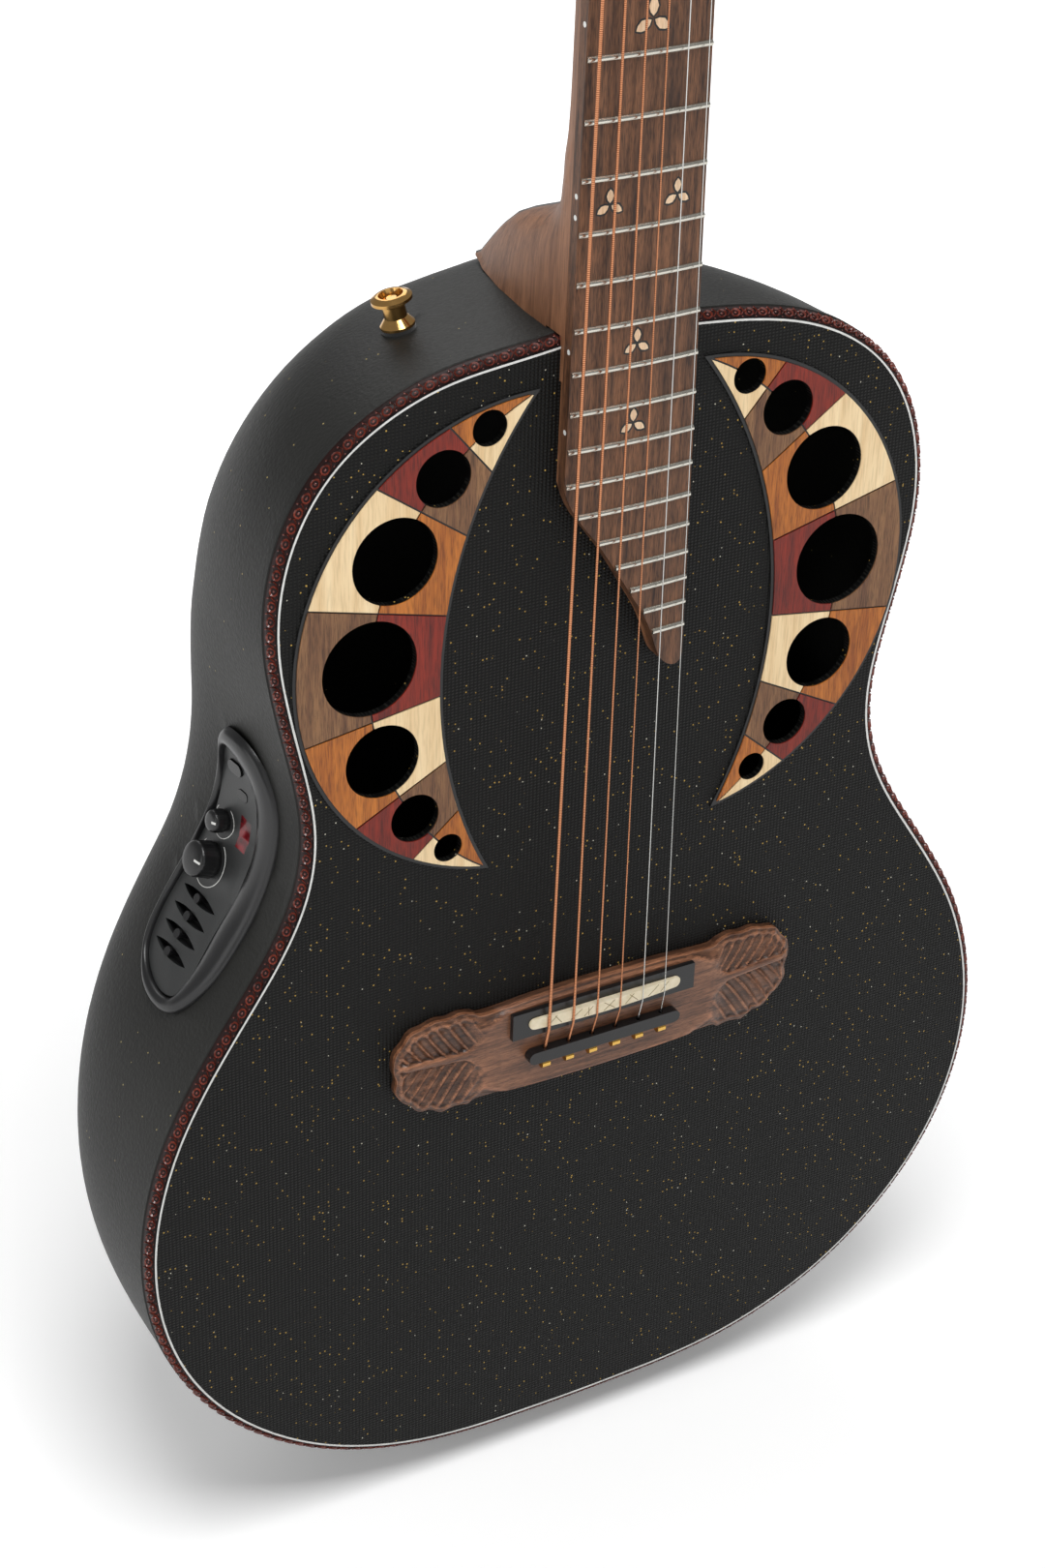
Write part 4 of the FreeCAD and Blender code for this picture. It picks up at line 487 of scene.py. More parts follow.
# the hollows carry painted shade, and the lacquered rings a lighter colour that is painted light
burgundy_hollows = celluloid("stained_burgundy_celluloid", "#140605", "#270e0c", 0.45, 0.2, 0)
burgundy_rings = celluloid("lacquered_burgundy_celluloid", "#4e1f18", "#783528", 0.2, 0.5, 0.25)
moulding.materials.append(burgundy_hollows)
moulding.materials.append(bowl_skin)
wall_sides = len(moulding_section)
for face in moulding.polygons:
    face.material_index = 1 if face.index % wall_sides in (1, 2) else 0
line_low, line_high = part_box("purfling")
line_start = moulding_width - 0.05 * MM
line_end = moulding_width + purfling_width
line_front = line_low.y - rim_front
line_back = line_high.y - rim_front
purfling_section = [
    (line_start, line_back), (line_start, line_front), (line_end - pale_width, line_front),
    (line_end, line_front), (line_end, line_back),
]
purfling_mesh = swept("purfling_lines", rim_path, rim_frames, purfling_section)
smooth(purfling_mesh, 40)
purfling_mesh.materials.append(purfling_plastic)
purfling_mesh.materials.append(black_fibre)
for face in purfling_mesh.polygons:
    face.material_index = 1 if face.index % len(purfling_section) in (0, 1) else 0
purfling = object_from("purfling_lines", purfling_mesh)
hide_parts("purfling")
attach(purfling, "guitar")
binding = object_from("rim_moulding", moulding)
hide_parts("rim_binding")
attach(binding, "guitar")


def scroll_motif():
    """One ring with its boss and tail, bent over the moulding's round corner."""
    form = bmesh.new()
    ring_radius = 1.75 * MM
    half = 0.58 * MM
    height = relief * 0.92
    sunk = -0.25 * MM
    sides = 10

    def on_corner(x, u, rise):
        turn = math.pi / 4 + u / (corner_radius + relief)
        reach = corner_radius + rise
        centre = relief + corner_radius
        return Vector((x, centre - reach * math.sin(turn), -(centre - reach * math.cos(turn))))

    def band(spots, rises, close):
        rows = [[form.verts.new(on_corner(x, u, rise)) for (x, u), rise in zip(row, rises)] for row in spots]
        join_rows(form, rows, close)
        if not close:
            form.faces.new(rows[0][::-1])
            form.faces.new(rows[-1])

    ring = []
    for side in range(sides):
        turn = math.tau * side / sides
        reaches = (ring_radius - half, ring_radius, ring_radius + half)
        ring.append([(reach * math.cos(turn), reach * math.sin(turn)) for reach in reaches])
    band(ring, (sunk, height, sunk), True)
    for x, u, radius in ((0, 0, 0.75), (2.8, -2.5, 0.55), (2.85, 2.1, 0.45)):
        foot = []
        for side in range(6):
            turn = math.tau * side / 6
            foot.append(form.verts.new(on_corner(
                (x + radius * math.cos(turn)) * MM, (u + radius * math.sin(turn)) * MM, sunk,
            )))
        peak = form.verts.new(on_corner(x * MM, u * MM, height))
        for side in range(6):
            form.faces.new((foot[side], foot[(side + 1) % 6], peak))
        form.faces.new(foot[::-1])
    tail = []
    for share in (0, 0.33, 0.66, 1):
        turn = math.pi * (0.45 - 0.75 * share)
        reach = ring_radius + (2.3 * share) * MM
        width = 0.55 * MM * (1 - 0.75 * share)
        x, u = reach * math.cos(turn) + 0.5 * MM * share, reach * math.sin(turn) * 0.9
        tail.append([(x - width, u), (x, u), (x + width, u)])
    band(tail, (sunk, height * 0.9, sunk), False)
    bmesh.ops.recalc_face_normals(form, faces=form.faces)
    return object_from("scroll_motif", mesh_of("scroll_motif", form))


def repeated(name, carrier, tree, settings, material):
    """The plain mesh that a node tree makes on a carrier, shaded and dressed."""
    modifier = carrier.modifiers.new(name, "NODES")
    modifier.node_group = tree
    for item in tree.interface.items_tree:
        if item.item_type == "SOCKET" and item.in_out == "INPUT" and item.name in settings:
            modifier[item.identifier] = settings[item.name]
    bpy.context.view_layer.update()
    made = carrier.evaluated_get(bpy.context.evaluated_depsgraph_get())
    mesh = bpy.data.meshes.new_from_object(made)
    carrier.modifiers.remove(modifier)
    bpy.data.objects.remove(carrier)
    mesh.name = name
    piece = object_from(name, mesh)
    dress(piece, material)
    return piece


def tree_with(name, sockets):
    """An empty geometry tree with named inputs, its input and output nodes."""
    tree = bpy.data.node_groups.new(name, "GeometryNodeTree")
    tree.interface.new_socket("Geometry", in_out="INPUT", socket_type="NodeSocketGeometry")
    for title, kind in sockets.items():
        tree.interface.new_socket(title, in_out="INPUT", socket_type=kind)
    tree.interface.new_socket("Geometry", in_out="OUTPUT", socket_type="NodeSocketGeometry")
    return tree, add(tree, "NodeGroupInput")


def place_motif(tree, given, points, rotation):
    """Ends a geometry tree: its motif on each point, turned, made real and given its finish."""
    motif_info = add(tree, "GeometryNodeObjectInfo", {"Object": given.outputs["Motif"]})
    placed = add(tree, "GeometryNodeInstanceOnPoints", {
        "Points": points, "Instance": motif_info.outputs["Geometry"], "Rotation": rotation,
    })
    real = add(tree, "GeometryNodeRealizeInstances", {"Geometry": placed.outputs[0]})
    finish = add(tree, "GeometryNodeSetMaterial", {
        "Geometry": real.outputs[0], "Material": given.outputs["Finish"],
    })
    add(tree, "NodeGroupOutput", {"Geometry": finish.outputs[0]})


row_tree, given = tree_with("row_on_rim", {
    "Motif": "NodeSocketObject", "Count": "NodeSocketInt", "Finish": "NodeSocketMaterial",
})
rim_curve = add(row_tree, "GeometryNodeMeshToCurve", {"Mesh": given.outputs["Geometry"]})
spaced = add(row_tree, "GeometryNodeResampleCurve", {
    "Curve": rim_curve.outputs[0], "Count": given.outputs["Count"],
})
tangent = add(row_tree, "GeometryNodeInputTangent")
turned = add(row_tree, "FunctionNodeAxesToRotation", {
    "Primary Axis": tangent.outputs[0], "Secondary Axis": (0, 1, 0),
}, primary_axis="X", secondary_axis="Y")
place_motif(row_tree, given, spaced.outputs[0], turned.outputs[0])

# the motif's face looks outwards when the line runs so that tangent x back does
rim_line = bpy.data.meshes.new("rim_line")
outward = (rim_path[1] - rim_path[0]).cross(back_way)
line_path = rim_path if rim_frames[0][0].dot(outward) < 0 else rim_path[::-1]
count = len(line_path)
rim_line.from_pydata(line_path, [(step, (step + 1) % count) for step in range(count)], [])
motif = scroll_motif()
scrolls = repeated("rim_scrolls", object_from("rim_line", rim_line), row_tree, {
    "Motif": motif, "Count": scroll_count, "Finish": burgundy_rings,
}, burgundy_rings)
bpy.data.objects.remove(motif)
smooth(scrolls.data, 80)
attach(scrolls, "guitar")

# The neck is carved from walnut and oiled. Its heel is bolted to the body, and a thin black sheet
# of fibre lies between heel and body. The fingerboard of darker walnut is glued along its front.


def eased(value, start, end):
    """A smooth step from 0 at start to 1 at end."""
    share = min(max((value - start) / (end - start), 0), 1)
    return share * share * (3 - 2 * share)


neck_walnut = wood("oiled_walnut_neck", "#6b452e", "#98694a", "Z", 0.0022, pores=0.2, roughness=0.5)
neck = close_copy("neck", 32)
heel_cap = close_copy("heel_cap", 30)
heel_backs = [
    (504, 68), (509, 57), (516, 45.5), (523.5, 38), (531.5, 30), (539, 20), (544.5, 9), (548.5, -1),
    (552.5, -11), (556.5, -16.5), (562, -19.6), (571, -21.4), (584, -22.2),
]
heel_low = 504 * MM
settled_from = 574 * MM
heel_levels = [level * MM for level in range(516, 586, 2)]
heel_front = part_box("fingerboard")[1].y
heel_forms = []
for piece in (neck, heel_cap):
    form = bmesh.new()
    form.from_mesh(piece.data)
    for level in heel_levels:
        whole = form.verts[:] + form.edges[:] + form.faces[:]
        bmesh.ops.bisect_plane(form, geom=whole, plane_co=(0, 0, level), plane_no=(0, 0, 1), dist=1e-7)
    heel_forms.append(form)
sawn_backs = [
    max(vert.co.y for form in heel_forms for vert in form.verts if abs(vert.co.z - level) < 0.1 * MM)
    for level in heel_levels
]
for form, piece, angle in zip(heel_forms, (neck, heel_cap), (32, 30)):
    for vert in form.verts:
        z = vert.co.z
        if heel_low <= z <= heel_levels[-1]:
            sawn = numpy.interp(z, heel_levels, sawn_backs)
            domed = numpy.interp(z / MM, *zip(*heel_backs)) * MM
            bent = eased(z, heel_low, heel_levels[0]) * (1 - eased(z, settled_from, heel_levels[-1]))
            grown = 1 + bent * ((domed - heel_front) / (sawn - heel_front) - 1)
            vert.co.y = heel_front + (vert.co.y - heel_front) * grown
    shade_smooth(form, angle)
    form.to_mesh(piece.data)
    form.free()
dress(neck, neck_walnut)
dress(heel_cap, black_fibre)
dress(nodes["truss_rod"], moulded("blued_steel_rod", "#2a2c30", 0.4))
board_walnut = wood("streaked_walnut_board", "#382318", "#7a5238", "Z", 0.0012, pores=0.5, roughness=0.5)
dress(close_copy("fingerboard", 20), board_walnut)
dress(nodes["side_dots"], moulded("white_side_dot", "#e6e6e2", 0.35))
headstock_veneer = moulded("black_lacquered_veneer", "#0c0c0d", 0.22, grain=0.003, depth=0.00001)
dress(nodes["headstock_veneer"], headstock_veneer)


def metal(name, hex_colour, roughness):
    """A plated or polished metal with fine wiping marks in its gloss."""
    material, tree, place = begin(name)
    marks = noise(tree, place, 1 / 0.0006, 4, Distortion=1.5)
    smears = noise(tree, place, 1 / 0.006)
    worn = maths(tree, "MULTIPLY", marks, smears)
    dark = [part * 0.9 for part in linear(hex_colour)[:3]] + [1]
    complete(tree, {
        "Base Color": blend(tree, smears, dark, linear(hex_colour)), "Metallic": 1.0,
        "Roughness": ranged(tree, worn, roughness * 0.7, roughness * 1.3, 0, 0.5),
    }, marks, 0.000004)
    return material


dress(close_copy("frets", 45), metal("nickel_silver_fret_wire", "#d5d1c6", 0.22))

# The position marks are pale maple petals, laid in threes with their points meeting, each let into
# a black filled recess a little larger than itself, so that a black line stands round them.

petal_maple = wood("pale_maple_petal", "#cfa985", "#ecd0ae", "Z", 0.0008, pores=0.12)
source = close_copy("fret_inlays", 30)
dress(source, petal_maple)
form = bmesh.new()
form.from_mesh(source.data)
islands = []
waiting = set(form.verts)
while waiting:
    reached = [waiting.pop()]
    for vert in reached:
        for edge in vert.link_edges:
            other = edge.other_vert(vert)
            if other in waiting:
                waiting.remove(other)
                reached.append(other)
    islands.append(reached)
line_width = 0.75 * MM
skin_thickness = 0.05 * MM
foot_depth = 0.3 * MM
lines = bmesh.new()
petals = bmesh.new()
for island in islands:
    lowest = min(vert.co.y for vert in island)
    face_verts = [vert for vert in island if vert.co.y < lowest + 0.5 * MM]
    middle = sum((vert.co for vert in face_verts), Vector()) / len(face_verts)
    ordered = sorted(face_verts, key=lambda vert: math.atan2(vert.co.z - middle.z, vert.co.x - middle.x))
    for target, growth, high in ((lines, line_width, skin_thickness), (petals, 0, 2 * skin_thickness)):
        tops = []
        feet = []
        for vert in ordered:
            away = Vector((vert.co.x - middle.x, 0, vert.co.z - middle.z)).normalized() * growth
            tops.append(target.verts.new(vert.co + away - back_way * high))
            feet.append(target.verts.new(vert.co + away + back_way * foot_depth))
        target.faces.new(tops)
        target.faces.new(feet[::-1])
        join_rows(target, [feet, tops])
form.free()
for target, title, material in (
    (lines, "petal_black_lines", black_fibre), (petals, "petal_faces", petal_maple),
):
    bmesh.ops.recalc_face_normals(target, faces=target.faces)
    piece = object_from(title, mesh_of(title, target))
    dress(piece, material)
    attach(piece, "guitar")

# The strings: four wound with phosphor bronze and two of plain polished steel, over a cream nut
# and saddle of moulded composite. Their brass balls lie behind the black bar that holds them.

bronze, tree, place = begin("phosphor_bronze_winding")
winding_pitch = 0.0007
turns = waves(tree, place, winding_pitch, "Z", Distortion=0.3)
tone = ramp(tree, turns, (0.0, "#8a4f30"), (0.7, "#dc9a72"))
# the colour darkens between the turns as painted shade; the real turns lie 0.3 mm apart, drawn coarser here
# so that they show
complete(tree, {"Base Color": tone, "Metallic": 1.0, "Roughness": 0.36}, turns, 0.00004)
dress(close_copy("wound_strings", 60), bronze)
dress(close_copy("plain_strings", 60), metal("polished_steel_wire", "#cfcfcc", 0.2))
dress(close_copy("ball_ends", 40), metal("turned_brass", "#e0b25c", 0.2))
cream, tree, place = begin("cream_moulded_composite")
mottle = noise(tree, place, 1 / 0.003, 3)
tone = ramp(tree, mottle, (0.3, "#d3c3a3"), (0.7, "#e2d4ba"))
complete(tree, {"Base Color": tone, "Roughness": 0.4, "Subsurface Weight": 0.05}, mottle, 0.00002)
for name in ("nut", "saddle"):
    dress(close_copy(name, 25), cream)
satin_black = moulded("satin_black_abs", "#161617", 0.32)
dress(close_copy("saddle_tray", 25), satin_black)
dress(close_copy("anchor_bar", 25), satin_black)
dress(nodes["pickup"], moulded("black_pickup_strip", "#1b1b1c", 0.5))

# The bridge is carved from one piece of walnut: a long bevelled body with an acanthus leaf at each
# end, its veins cut with a gouge, its rim rolled over and scalloped. It is glued to the soundboard.

half_shares = [
    (0, 0.94), (0.3, 0.92), (0.56, 0.86), (0.62, 0.94), (0.68, 1), (0.74, 0.96), (0.8, 0.99),
    (0.86, 0.92), (0.92, 0.86), (0.955, 0.66), (0.99, 0.5), (1, 0.2), (0.985, -0.05), (0.99, -0.3),
    (0.96, -0.52), (0.92, -0.66), (0.88, -0.84), (0.82, -0.88), (0.77, -1), (0.7, -0.96), (0.64, -0.99),
    (0.58, -0.9), (0.3, -0.95), (0, -0.97),
]
low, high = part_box("bridge")
bridge_middle = (low + high) / 2
bridge_half = (high - low) / 2
outline = [Vector((x, 0, z)) for x, z in half_shares] + [Vector((-x, 0, z)) for x, z in half_shares[-2:0:-1]]


def rounded_loop(corners, steps):
    """A closed smooth loop through its corners, as many steps between each two."""
    points = []
    count = len(corners)
    for index in range(count):
        a, b, c, d = [corners[(index + shift) % count] for shift in (-1, 0, 1, 2)]
        for step in range(steps):
            t = step / steps
            bends = (2 * a - 5 * b + 4 * c - d) * t * t + (3 * b - a - 3 * c + d) * t ** 3
            points.append(0.5 * (2 * b + (c - a) * t + bends))
    return points


fill_share = 0.998
edge_loop = [
    Vector((spot.x * bridge_half.x * fill_share, 0, spot.z * bridge_half.z * fill_share))
    for spot in rounded_loop(outline, 9)
]
bridge_foot = high.y
bridge_rise = high.y - low.y
spine_half = 0.8 * bridge_half.x
vein_pitch = 5.4 * MM
ring_shares = [0, 0.012, 0.03, 0.055, 0.085, 0.12] + [0.12 + 0.88 * step / 36 for step in range(1, 37)]
leaf_start = 0.56
leaf_full = 0.68


def carved_height(spot, edge_gap):
    """How high the bridge stands at a spot that lies edge_gap inside its outline."""
    x, z = abs(spot.x) / bridge_half.x, spot.z / bridge_half.z
    leaf = eased(x, leaf_start, leaf_full)
    bevel = 1.1 * MM + 4.5 * MM * eased(x, 0.46, 0.58)
    rise = bridge_rise * (0.66 + 0.34 * eased(edge_gap, 0, bevel)) - 0.9 * MM * leaf
    if leaf == 0:
        return rise
    inside = eased(edge_gap, 1.8 * MM, 4 * MM)
    spine = 0.1 + 0.14 * math.sin(3 * (x - leaf_start))
    rib_share = min(abs(z - spine) / (0.1 + 0.34 * (1 - leaf) + 0.1 * (1 - x)), 1)
    run = (x - leaf_start) * bridge_half.x - 0.72 * abs(z - spine) ** 0.8 * bridge_half.z
    ridge = (1 - abs(math.sin(math.pi * run / vein_pitch))) ** 1.3
    rise += leaf * inside * eased(rib_share, 0.55, 1) * MM * (1.7 * ridge - 1.35)
    rise += leaf * inside * (0.5 * (1 - rib_share) - 0.7 * math.exp(-((rib_share - 0.8) / 0.2) ** 2)) * MM
    scallops = 0.5 + 0.5 * math.cos(math.tau * run / vein_pitch)
    rolled = math.exp(-((edge_gap - 1.9 * MM) / (1.2 * MM)) ** 2)
    rise += leaf * rolled * (0.2 + 0.7 * scallops) * MM
    return min(rise, bridge_rise - 0.05 * MM)


form = bmesh.new()
foot_shift = bridge_foot - bridge_middle.y
rings = [[form.verts.new(bridge_middle + Vector((spot.x, foot_shift, spot.z))) for spot in edge_loop]]
for share in ring_shares:
    ring = []
    for spot in edge_loop:
        spine = Vector((max(min(spot.x, spine_half), -spine_half), 0, 0))
        here = spot.lerp(spine, share)
        gap = (here - spot).length
        place_y = bridge_foot - carved_height(here, gap)
        ring.append(form.verts.new(Vector((bridge_middle.x + here.x, place_y, bridge_middle.z + here.z))))
    rings.append(ring)
join_rows(form, rings)
form.faces.new(rings[0])
bmesh.ops.remove_doubles(form, verts=form.verts, dist=2e-6)
hollow = form.verts.layers.float.new("hollow")
for vert in form.verts:
    around = [edge.other_vert(vert).co.y for edge in vert.link_edges]
    vert[hollow] = (vert.co.y - sum(around) / len(around)) / (0.06 * MM)
mesh = mesh_of("carved_bridge", form)
smooth(mesh, 60)
bridge = object_from("carved_bridge", mesh)
carved_walnut = wood("carved_walnut", "#4a2c1d", "#8f6044", "X", 0.001, pores=0.45, roughness=0.42, sheen=0.2)
# painted shade darkens the cuts, and a painted highlight lightens the ridges between them
tree = carved_walnut.node_tree
shader = next(node for node in tree.nodes if node.type == "BSDF_PRINCIPLED")
cuts = add(tree, "ShaderNodeAttribute", attribute_name="hollow")
painted_shade_and_highlight = ranged(tree, cuts.outputs["Fac"], 1.3, 0.42, -1, 1)
with_painted_shade = blend(tree, 1.0, shader.inputs["Base Color"].links[0].from_socket, painted_shade_and_highlight, "MULTIPLY")
tree.links.new(with_painted_shade, shader.inputs["Base Color"])
dress(bridge, carved_walnut)
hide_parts("bridge")
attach(bridge, "guitar")

# The saddle carries six short steps that set each string's length. Thin slanted lines of painted
# shadow lie across its cream top.

# a darker cream for the lines of painted shadow across the saddle
painted_shadow_lines = moulded("shadowed_cut", "#8d7c58", 0.7)


def strips(name, under, lines, way, width, lift, material, body):
    """Thin strips laid along lines on a piece, seen along one way."""
    skin = BVHTree.FromObject(under, bpy.context.evaluated_depsgraph_get())
    run_up = 0.05
    form = bmesh.new()
    for line in lines:
        rows = []
        for index, spot in enumerate(line):
            before, after = line[max(index - 1, 0)], line[min(index + 1, len(line) - 1)]
            across = (after - before).cross(way).normalized() * width / 2
            row = []
            for side in (-1, 1):
                met = skin.ray_cast(spot + across * side - way * run_up, way)[0]
                if met is None:
                    break
                for rise in (lift, -lift):
                    row.append(form.verts.new(met - way * rise))
            if len(row) == 4:
                rows.append([row[0], row[2], row[3], row[1]])
        join_rows(form, rows)
        if len(rows) > 1:
            form.faces.new(rows[0][::-1])
            form.faces.new(rows[-1])
    bmesh.ops.recalc_face_normals(form, faces=form.faces)
    piece = object_from(name, mesh_of(name, form))
    dress(piece, material)
    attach(piece, body)


low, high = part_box("saddle")
saddle_slants = (
    (-27, 4), (-21, -3), (-17, 5), (-11, 4), (-9, 0), (-2, 5), (3, -5), (8, 4), (14, -4), (19, 5), (25, 4),
)
saddle_lines = []
for x, slant in saddle_slants:
    start = Vector((x * MM, low.y, low.z + 0.5 * MM))
    end = Vector(((x + slant) * MM, low.y, high.z - 0.5 * MM))
    saddle_lines.append([start.lerp(end, step / 3) for step in range(4)])
strips(
    "saddle_steps", bpy.data.objects["saddle_form"], saddle_lines, back_way, 0.3 * MM, 0.04 * MM,
    painted_shadow_lines, "guitar",
)

# The preamp is let into the bass side: a satin panel of moulded ABS in a soft rolled bezel that is
# thickest towards the soundboard and hooks over the top of the panel. It is held from inside.

bezel_shares = [
    (0.362, 0.685), (0.28, 0.683), (0.207, 0.665), (0.16, 0.63), (0.15, 0.58), (0.157, 0.536),
    (0.178, 0.5), (0.244, 0.473), (0.34, 0.467), (0.449, 0.475), (0.525, 0.498), (0.537, 0.532),
    (0.51, 0.58), (0.468, 0.625), (0.456, 0.657), (0.42, 0.678),
]
panel_shares = [
    (0.392, 0.668), (0.31, 0.658), (0.262, 0.637), (0.241, 0.6), (0.243, 0.57), (0.258, 0.535),
    (0.258, 0.505), (0.275, 0.482), (0.33, 0.476), (0.42, 0.48), (0.49, 0.492), (0.519, 0.515),
    (0.512, 0.545), (0.486, 0.588), (0.45, 0.62), (0.438, 0.655),
]
bowl_depth = 0.138
body_length = 0.504
front_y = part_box("rim_binding")[0].y
tail_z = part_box("rim_binding")[0].z


def on_side(shares):
    return [Vector((0, front_y + y * bowl_depth, tail_z + z * body_length)) for y, z in shares]


panel = close_copy("preamp_panel", 30)
panel_abs = moulded("satin_charcoal_panel_abs", "#2a2b2b", 0.4)
dress(panel, panel_abs)
panel_height = 1.6 * MM
samples = []
for face in nodes["preamp_panel"].data.polygons:
    if face.normal.x < -0.75:
        samples += [nodes["preamp_panel"].data.vertices[index].co for index in face.vertices]
middle = sum(samples, Vector()) / len(samples)
span = 0.05


def side_terms(spot):
    y, z = (spot.y - middle.y) / span, (spot.z - middle.z) / span
    return [1, y, z, y * y, y * z, z * z, y ** 3, y * y * z, y * z * z, z ** 3]


side_table = numpy.array([side_terms(spot) for spot in samples])
fitted = numpy.linalg.lstsq(side_table, numpy.array([spot.x for spot in samples]), rcond=None)[0]


def side_point(spot, rise):
    """The place at a spot of the bass side, a rise above the panel's face."""
    step = 0.5 * MM
    x = float(numpy.dot(fitted, side_terms(spot)))
    along_y = float(numpy.dot(fitted, side_terms(spot + Vector((0, step, 0))))) - x
    along_z = float(numpy.dot(fitted, side_terms(spot + Vector((0, 0, step))))) - x
    normal = Vector((-1, along_y / step, along_z / step)).normalized()
    return Vector((x, spot.y, spot.z)) + normal * rise


outer = rounded_loop(on_side(bezel_shares), 8)
inner = rounded_loop(on_side(panel_shares), 8)
roll_steps = 12
form = bmesh.new()
rows = []
for start, end in zip(outer, inner):
    width = (end - start).length
    crest = min(2.4 * MM, 0.3 * width + 0.5 * MM)
    row = []
    for step in range(roll_steps + 1):
        turn = math.pi * step / roll_steps
        share = 0.5 - 0.5 * math.cos(turn)
        foot = -panel_height - 0.4 * MM if step == 0 else (-0.9 * MM if step == roll_steps else None)
        base = -panel_height + (panel_height - 0.7 * MM) * share
        rise = base + (crest - base) * math.sin(turn) ** 0.8 if foot is None else foot
        row.append(form.verts.new(side_point(start.lerp(end, share), rise)))
    for share in (0.75, 0.25):
        row.append(form.verts.new(side_point(start.lerp(end, share), -panel_height - 0.4 * MM)))
    rows.append(row)
join_rows(form, rows, True)
mesh = mesh_of("rolled_bezel", form)
smooth(mesh, 50)
bezel = object_from("rolled_bezel", mesh)
dress(bezel, moulded("soft_black_bezel_abs", "#1b1b1c", 0.3))
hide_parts("preamp_bezel")
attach(bezel, "guitar")
dress(nodes["preamp_housing"], satin_black)
red_window, tree, place = begin("smoked_red_acrylic_window")
tone = ramp(tree, noise(tree, place, 1 / 0.005, 1), (0.35, "#3a060b"), (0.65, "#7d0f1a"))
complete(tree, {"Base Color": tone, "Roughness": 0.1, "Specular IOR Level": 0.4})
dress(close_copy("tuner_display", 30), red_window)

# The knobs, slider caps and buttons are black ABS. The knobs turn on the pots' shafts, their skirts
# finely ribbed and their domes marked with a white pointer that is pressed into the plastic.

knob_abs = moulded("black_knob_abs", "#131314", 0.3)
white_print = moulded("white_pad_print", "#dcdcd8", 0.5)
joint_of = {joint["child"]: joint for joint in frame["joints"]}
knob_forms = {"volume_knob": (7.3, 11.6, 24), "tone_knob": (4.6, 8.4, 16)}
for name, (radius, height, rib_count) in knob_forms.items():
    joint = joint_of[name]
    foot = Vector(joint["pos_m"])
    axis = Vector(joint["axis"]).normalized()
    player_way = Vector((-0.35, -0.9, 0.25))
    forward = (player_way - axis * axis.dot(player_way)).normalized()
    sideways = axis.cross(forward)
    profile = [
        (0.96, 2.9), (1, 3.3), (0.985, 5.5), (0.965, height - 1.6), (0.93, height - 0.7),
        (0.84, height - 0.15), (0.6, height + 0.15), (0.3, height + 0.3),
    ]
    turns_count = rib_count * 3
    turns = [math.tau * step / turns_count for step in range(turns_count)]
    form = bmesh.new()

    def knob_ring(rise, reaches):
        return [
            form.verts.new(
                foot + axis * rise * MM + (forward * math.cos(turn) + sideways * math.sin(turn)) * reach * MM
            )
            for turn, reach in zip(turns, reaches)
        ]

    rows = []
    for share, rise in profile:
        rib = 0.12 if 3.2 < rise < height - 1 else 0
        rows.append(knob_ring(rise, [radius * share + rib * math.cos(turn * rib_count) for turn in turns]))
    shaft_radius = 2.4
    shaft = knob_ring(-3, [shaft_radius] * turns_count)
    join_rows(form, rows)
    join_rows(form, [shaft, rows[0]])
    form.faces.new(shaft)
    form.faces.new(rows[-1])
    mesh = mesh_of(f"{name}_cap", form)
    smooth(mesh, 45)
    knob = object_from(f"{name}_cap", mesh)
    dress(knob, knob_abs)
    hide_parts(name)
    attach(knob, name)
    bpy.context.view_layer.update()
    pointer_reaches = numpy.linspace(radius * 0.3, radius * 0.97, 5)
    pointer = [foot + axis * (height + 4) * MM + forward * reach * MM for reach in pointer_reaches]
    strips(
        f"{name}_pointer", knob, [pointer], axis * -1, 0.9 * MM, 0.06 * MM, white_print, name,
    )

for index in range(1, 5):
    dress(close_copy(f"slider_{index}", 40), knob_abs)
button_abs = moulded("gloss_black_button_abs", "#050505", 0.18)
for index in range(1, 3):
    dress(close_copy(f"push_button_{index}", 40), button_abs)

# White printing on the panel, all of it plain: an arc round each knob, a bracket beside the
# sliders, a tick at each slot's end and a ring round the small battery lamp.

bpy.context.view_layer.update()


def panel_arc(place, radius, start, end, steps=20):
    """Spots on a circle about a place on the panel, seen from the side."""
    return [
        place + Vector((0, math.cos(math.radians(turn)), math.sin(math.radians(turn)))) * radius
        for turn in numpy.linspace(start, end, steps)
    ]


print_lines = []
for name, (radius, _, _) in knob_forms.items():
    centre = Vector(joint_of[name]["pos_m"])
    print_lines.append(panel_arc(centre, (radius + 2.1) * MM, 120, 400, 32))
slot_places = on_side([(0.39, 0.5395), (0.393, 0.5255), (0.393, 0.512), (0.392, 0.4985)])
for place in slot_places:
    for way in (-1, 1):
        start = place + Vector((0, way * 11.2 * MM, 1.2 * MM))
        print_lines.append([start, start + Vector((0, way * 1.3 * MM, 0))])
first, last = slot_places[0], slot_places[-1]
reach = Vector((0, 14.3 * MM, 0))
print_lines.append([first + reach * 0.9, first + reach, last + reach, last + reach * 0.9])
lamp_place = on_side([(0.31, 0.572)])[0]
print_lines.append(panel_arc(lamp_place, 1.5 * MM, 0, 360, 16))
for row in range(3):
    start = lamp_place + Vector((0, 0, (-3.6 - 1.5 * row) * MM))
    print_lines.append([start + Vector((0, -2.2 * MM, 0)), start + Vector((0, (1.8 - 0.7 * row) * MM, 0))])
strips(
    "panel_printing", panel, print_lines, Vector((1, 0, 0)), 0.32 * MM, 0.04 * MM, white_print, "guitar",
)

# The tuning machines are sealed, die-cast and gold-plated: housings on the back of the headstock,
# each held by a small screw in its lug, with bushings on the front, posts and oval buttons.

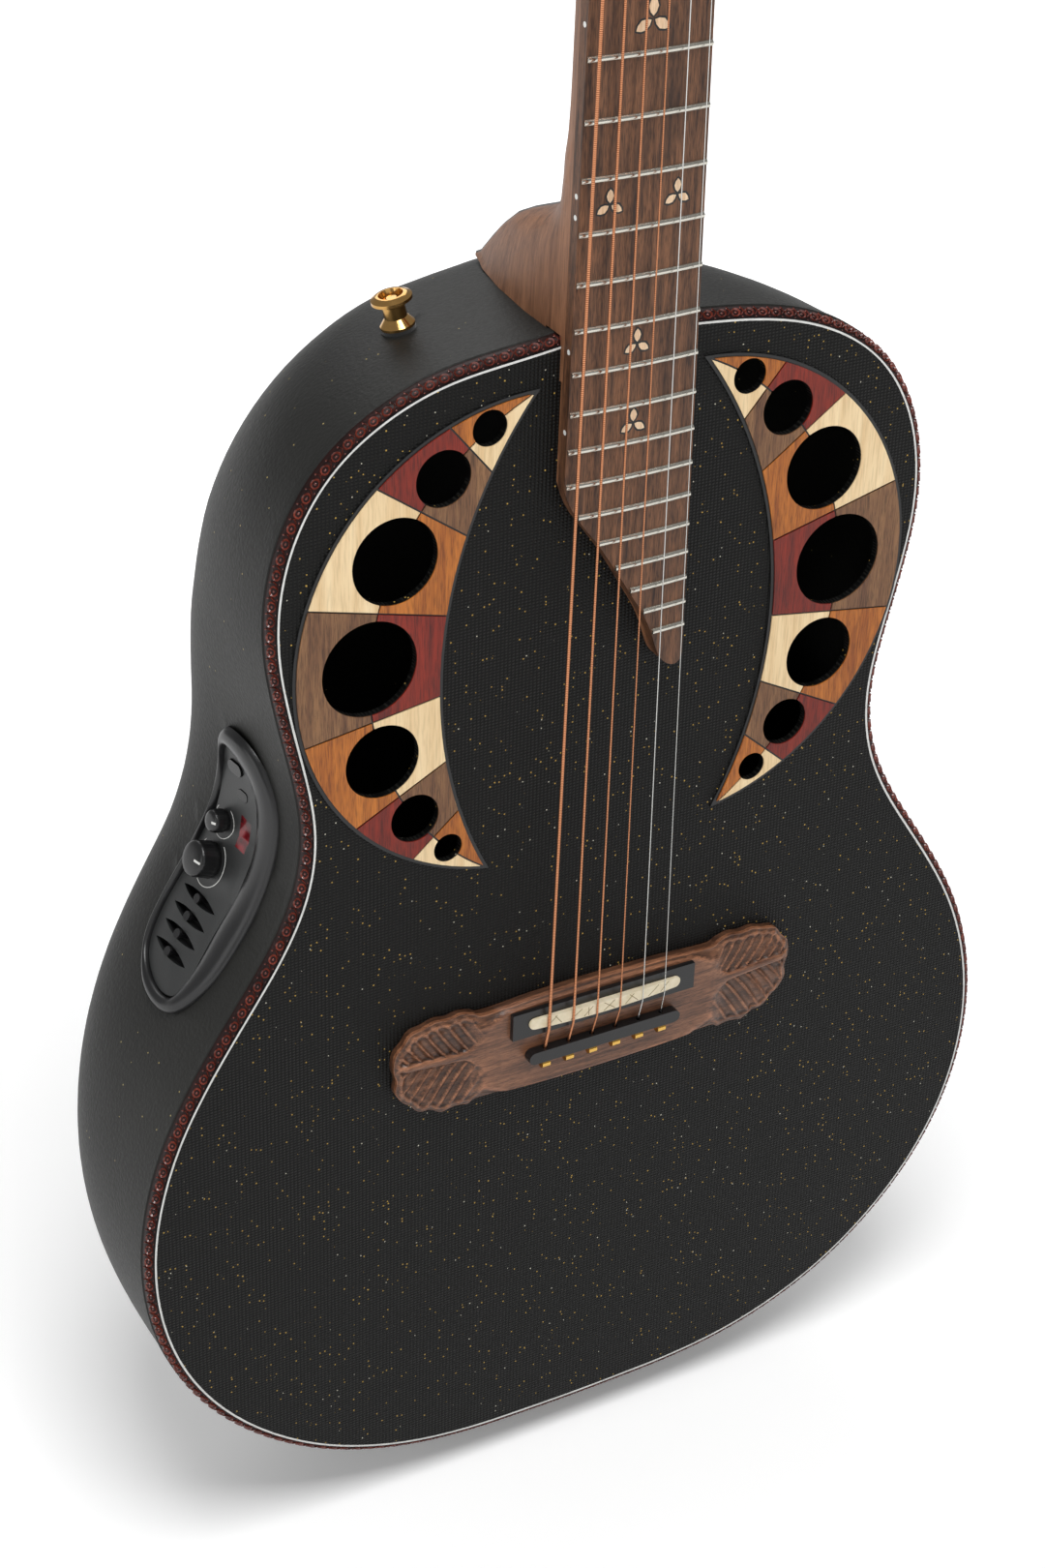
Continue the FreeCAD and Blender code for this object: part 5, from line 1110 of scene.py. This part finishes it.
gold_plate = metal("gold_plated_die_casting", "#cfa258", 0.22)
dress(close_copy("tuner_housings", 30), gold_plate)
dress(close_copy("tuner_bushings", 40), gold_plate)
for index in range(1, 7):
    dress(close_copy(f"tuner_key_{index}", 35), gold_plate)
    dress(close_copy(f"tuner_post_{index}", 35), gold_plate)

head_tilt = math.radians(14)
head_base = Vector((0, -43.4 * MM, 879.861 * MM))
head_up = Vector((0, math.sin(head_tilt), math.cos(head_tilt)))
head_back = Vector((0, math.cos(head_tilt), -math.sin(head_tilt)))
lug_face = 16.6 * MM
screw_spots = []
for side in (-1, 1):
    for rise in (44, 84, 124):
        x = side * (25.78 - 0.045472 * rise) * MM
        up = head_up * (rise - 11.9) * MM
        screw_spots.append(head_base + Vector((x, 0, 0)) + up + head_back * lug_face)


def screw_head():
    """A small round-headed screw with a cross cut in its dome, its top along Z."""
    form = bmesh.new()
    sides = 16
    rows = []
    for radius, rise in ((1.85, -0.3), (1.85, 0.15), (1.65, 0.55), (1.15, 0.85), (0.55, 0.95)):
        row = []
        for side in range(sides):
            turn = math.tau * side / sides
            notch = 0.35 if radius < 1.5 and side % 4 == 0 else 0
            reach = radius * MM
            row.append(form.verts.new((reach * math.cos(turn), reach * math.sin(turn), (rise - notch) * MM)))
        rows.append(row)
    join_rows(form, rows)
    pit = form.verts.new((0, 0, 0.45 * MM))
    for side in range(sides):
        form.faces.new((rows[-1][side], rows[-1][(side + 1) % sides], pit))
    form.faces.new(rows[0][::-1])
    return object_from("lug_screw", mesh_of("lug_screw", form))


screw_tree, given = tree_with("screw_at_each_point", {
    "Motif": "NodeSocketObject", "Facing": "NodeSocketVector", "Finish": "NodeSocketMaterial",
})
spots = add(screw_tree, "GeometryNodeMeshToPoints", {"Mesh": given.outputs["Geometry"]})
facing = add(screw_tree, "FunctionNodeAlignRotationToVector", {"Vector": given.outputs["Facing"]}, axis="Z")
place_motif(screw_tree, given, spots.outputs[0], facing.outputs[0])
screw_points = bpy.data.meshes.new("screw_points")
screw_points.from_pydata(screw_spots, [], [])
motif = screw_head()
screws = repeated("tuner_screws", object_from("screw_points", screw_points), screw_tree, {
    "Motif": motif, "Facing": tuple(head_back), "Finish": gold_plate,
}, gold_plate)
bpy.data.objects.remove(motif)
smooth(screws.data, 40)
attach(screws, "guitar")

# Strap buttons and what lies inside: a turned, gold-plated button on the bass shoulder and the end
# pin with the output jack at the tail, each on a black felt washer, with a gold-plated screw and steel bolts
# and nut.

polished_gold = metal("polished_gold_plate", "#d3a563", 0.14)
dress(close_copy("strap_button", 30), polished_gold)
dress(close_copy("end_pin_jack", 30), polished_gold)
felt, tree, place = begin("black_wool_felt")
fibres = noise(tree, place, 1 / 0.0006, 4, Distortion=2)
tone = ramp(tree, fibres, (0.3, "#0a0a0a"), (0.7, "#1c1c1c"))
complete(tree, {"Base Color": tone, "Roughness": 0.95, "Sheen Weight": 0.3}, fibres, 0.00015)
dress(close_copy("strap_washers", 40), felt)
bright_steel = metal("zinc_plated_steel", "#b9bbbd", 0.3)
dress(close_copy("strap_screw", 35), polished_gold)
dress(close_copy("neck_bolts", 35), bright_steel)
dress(close_copy("jack_nut", 30), bright_steel)
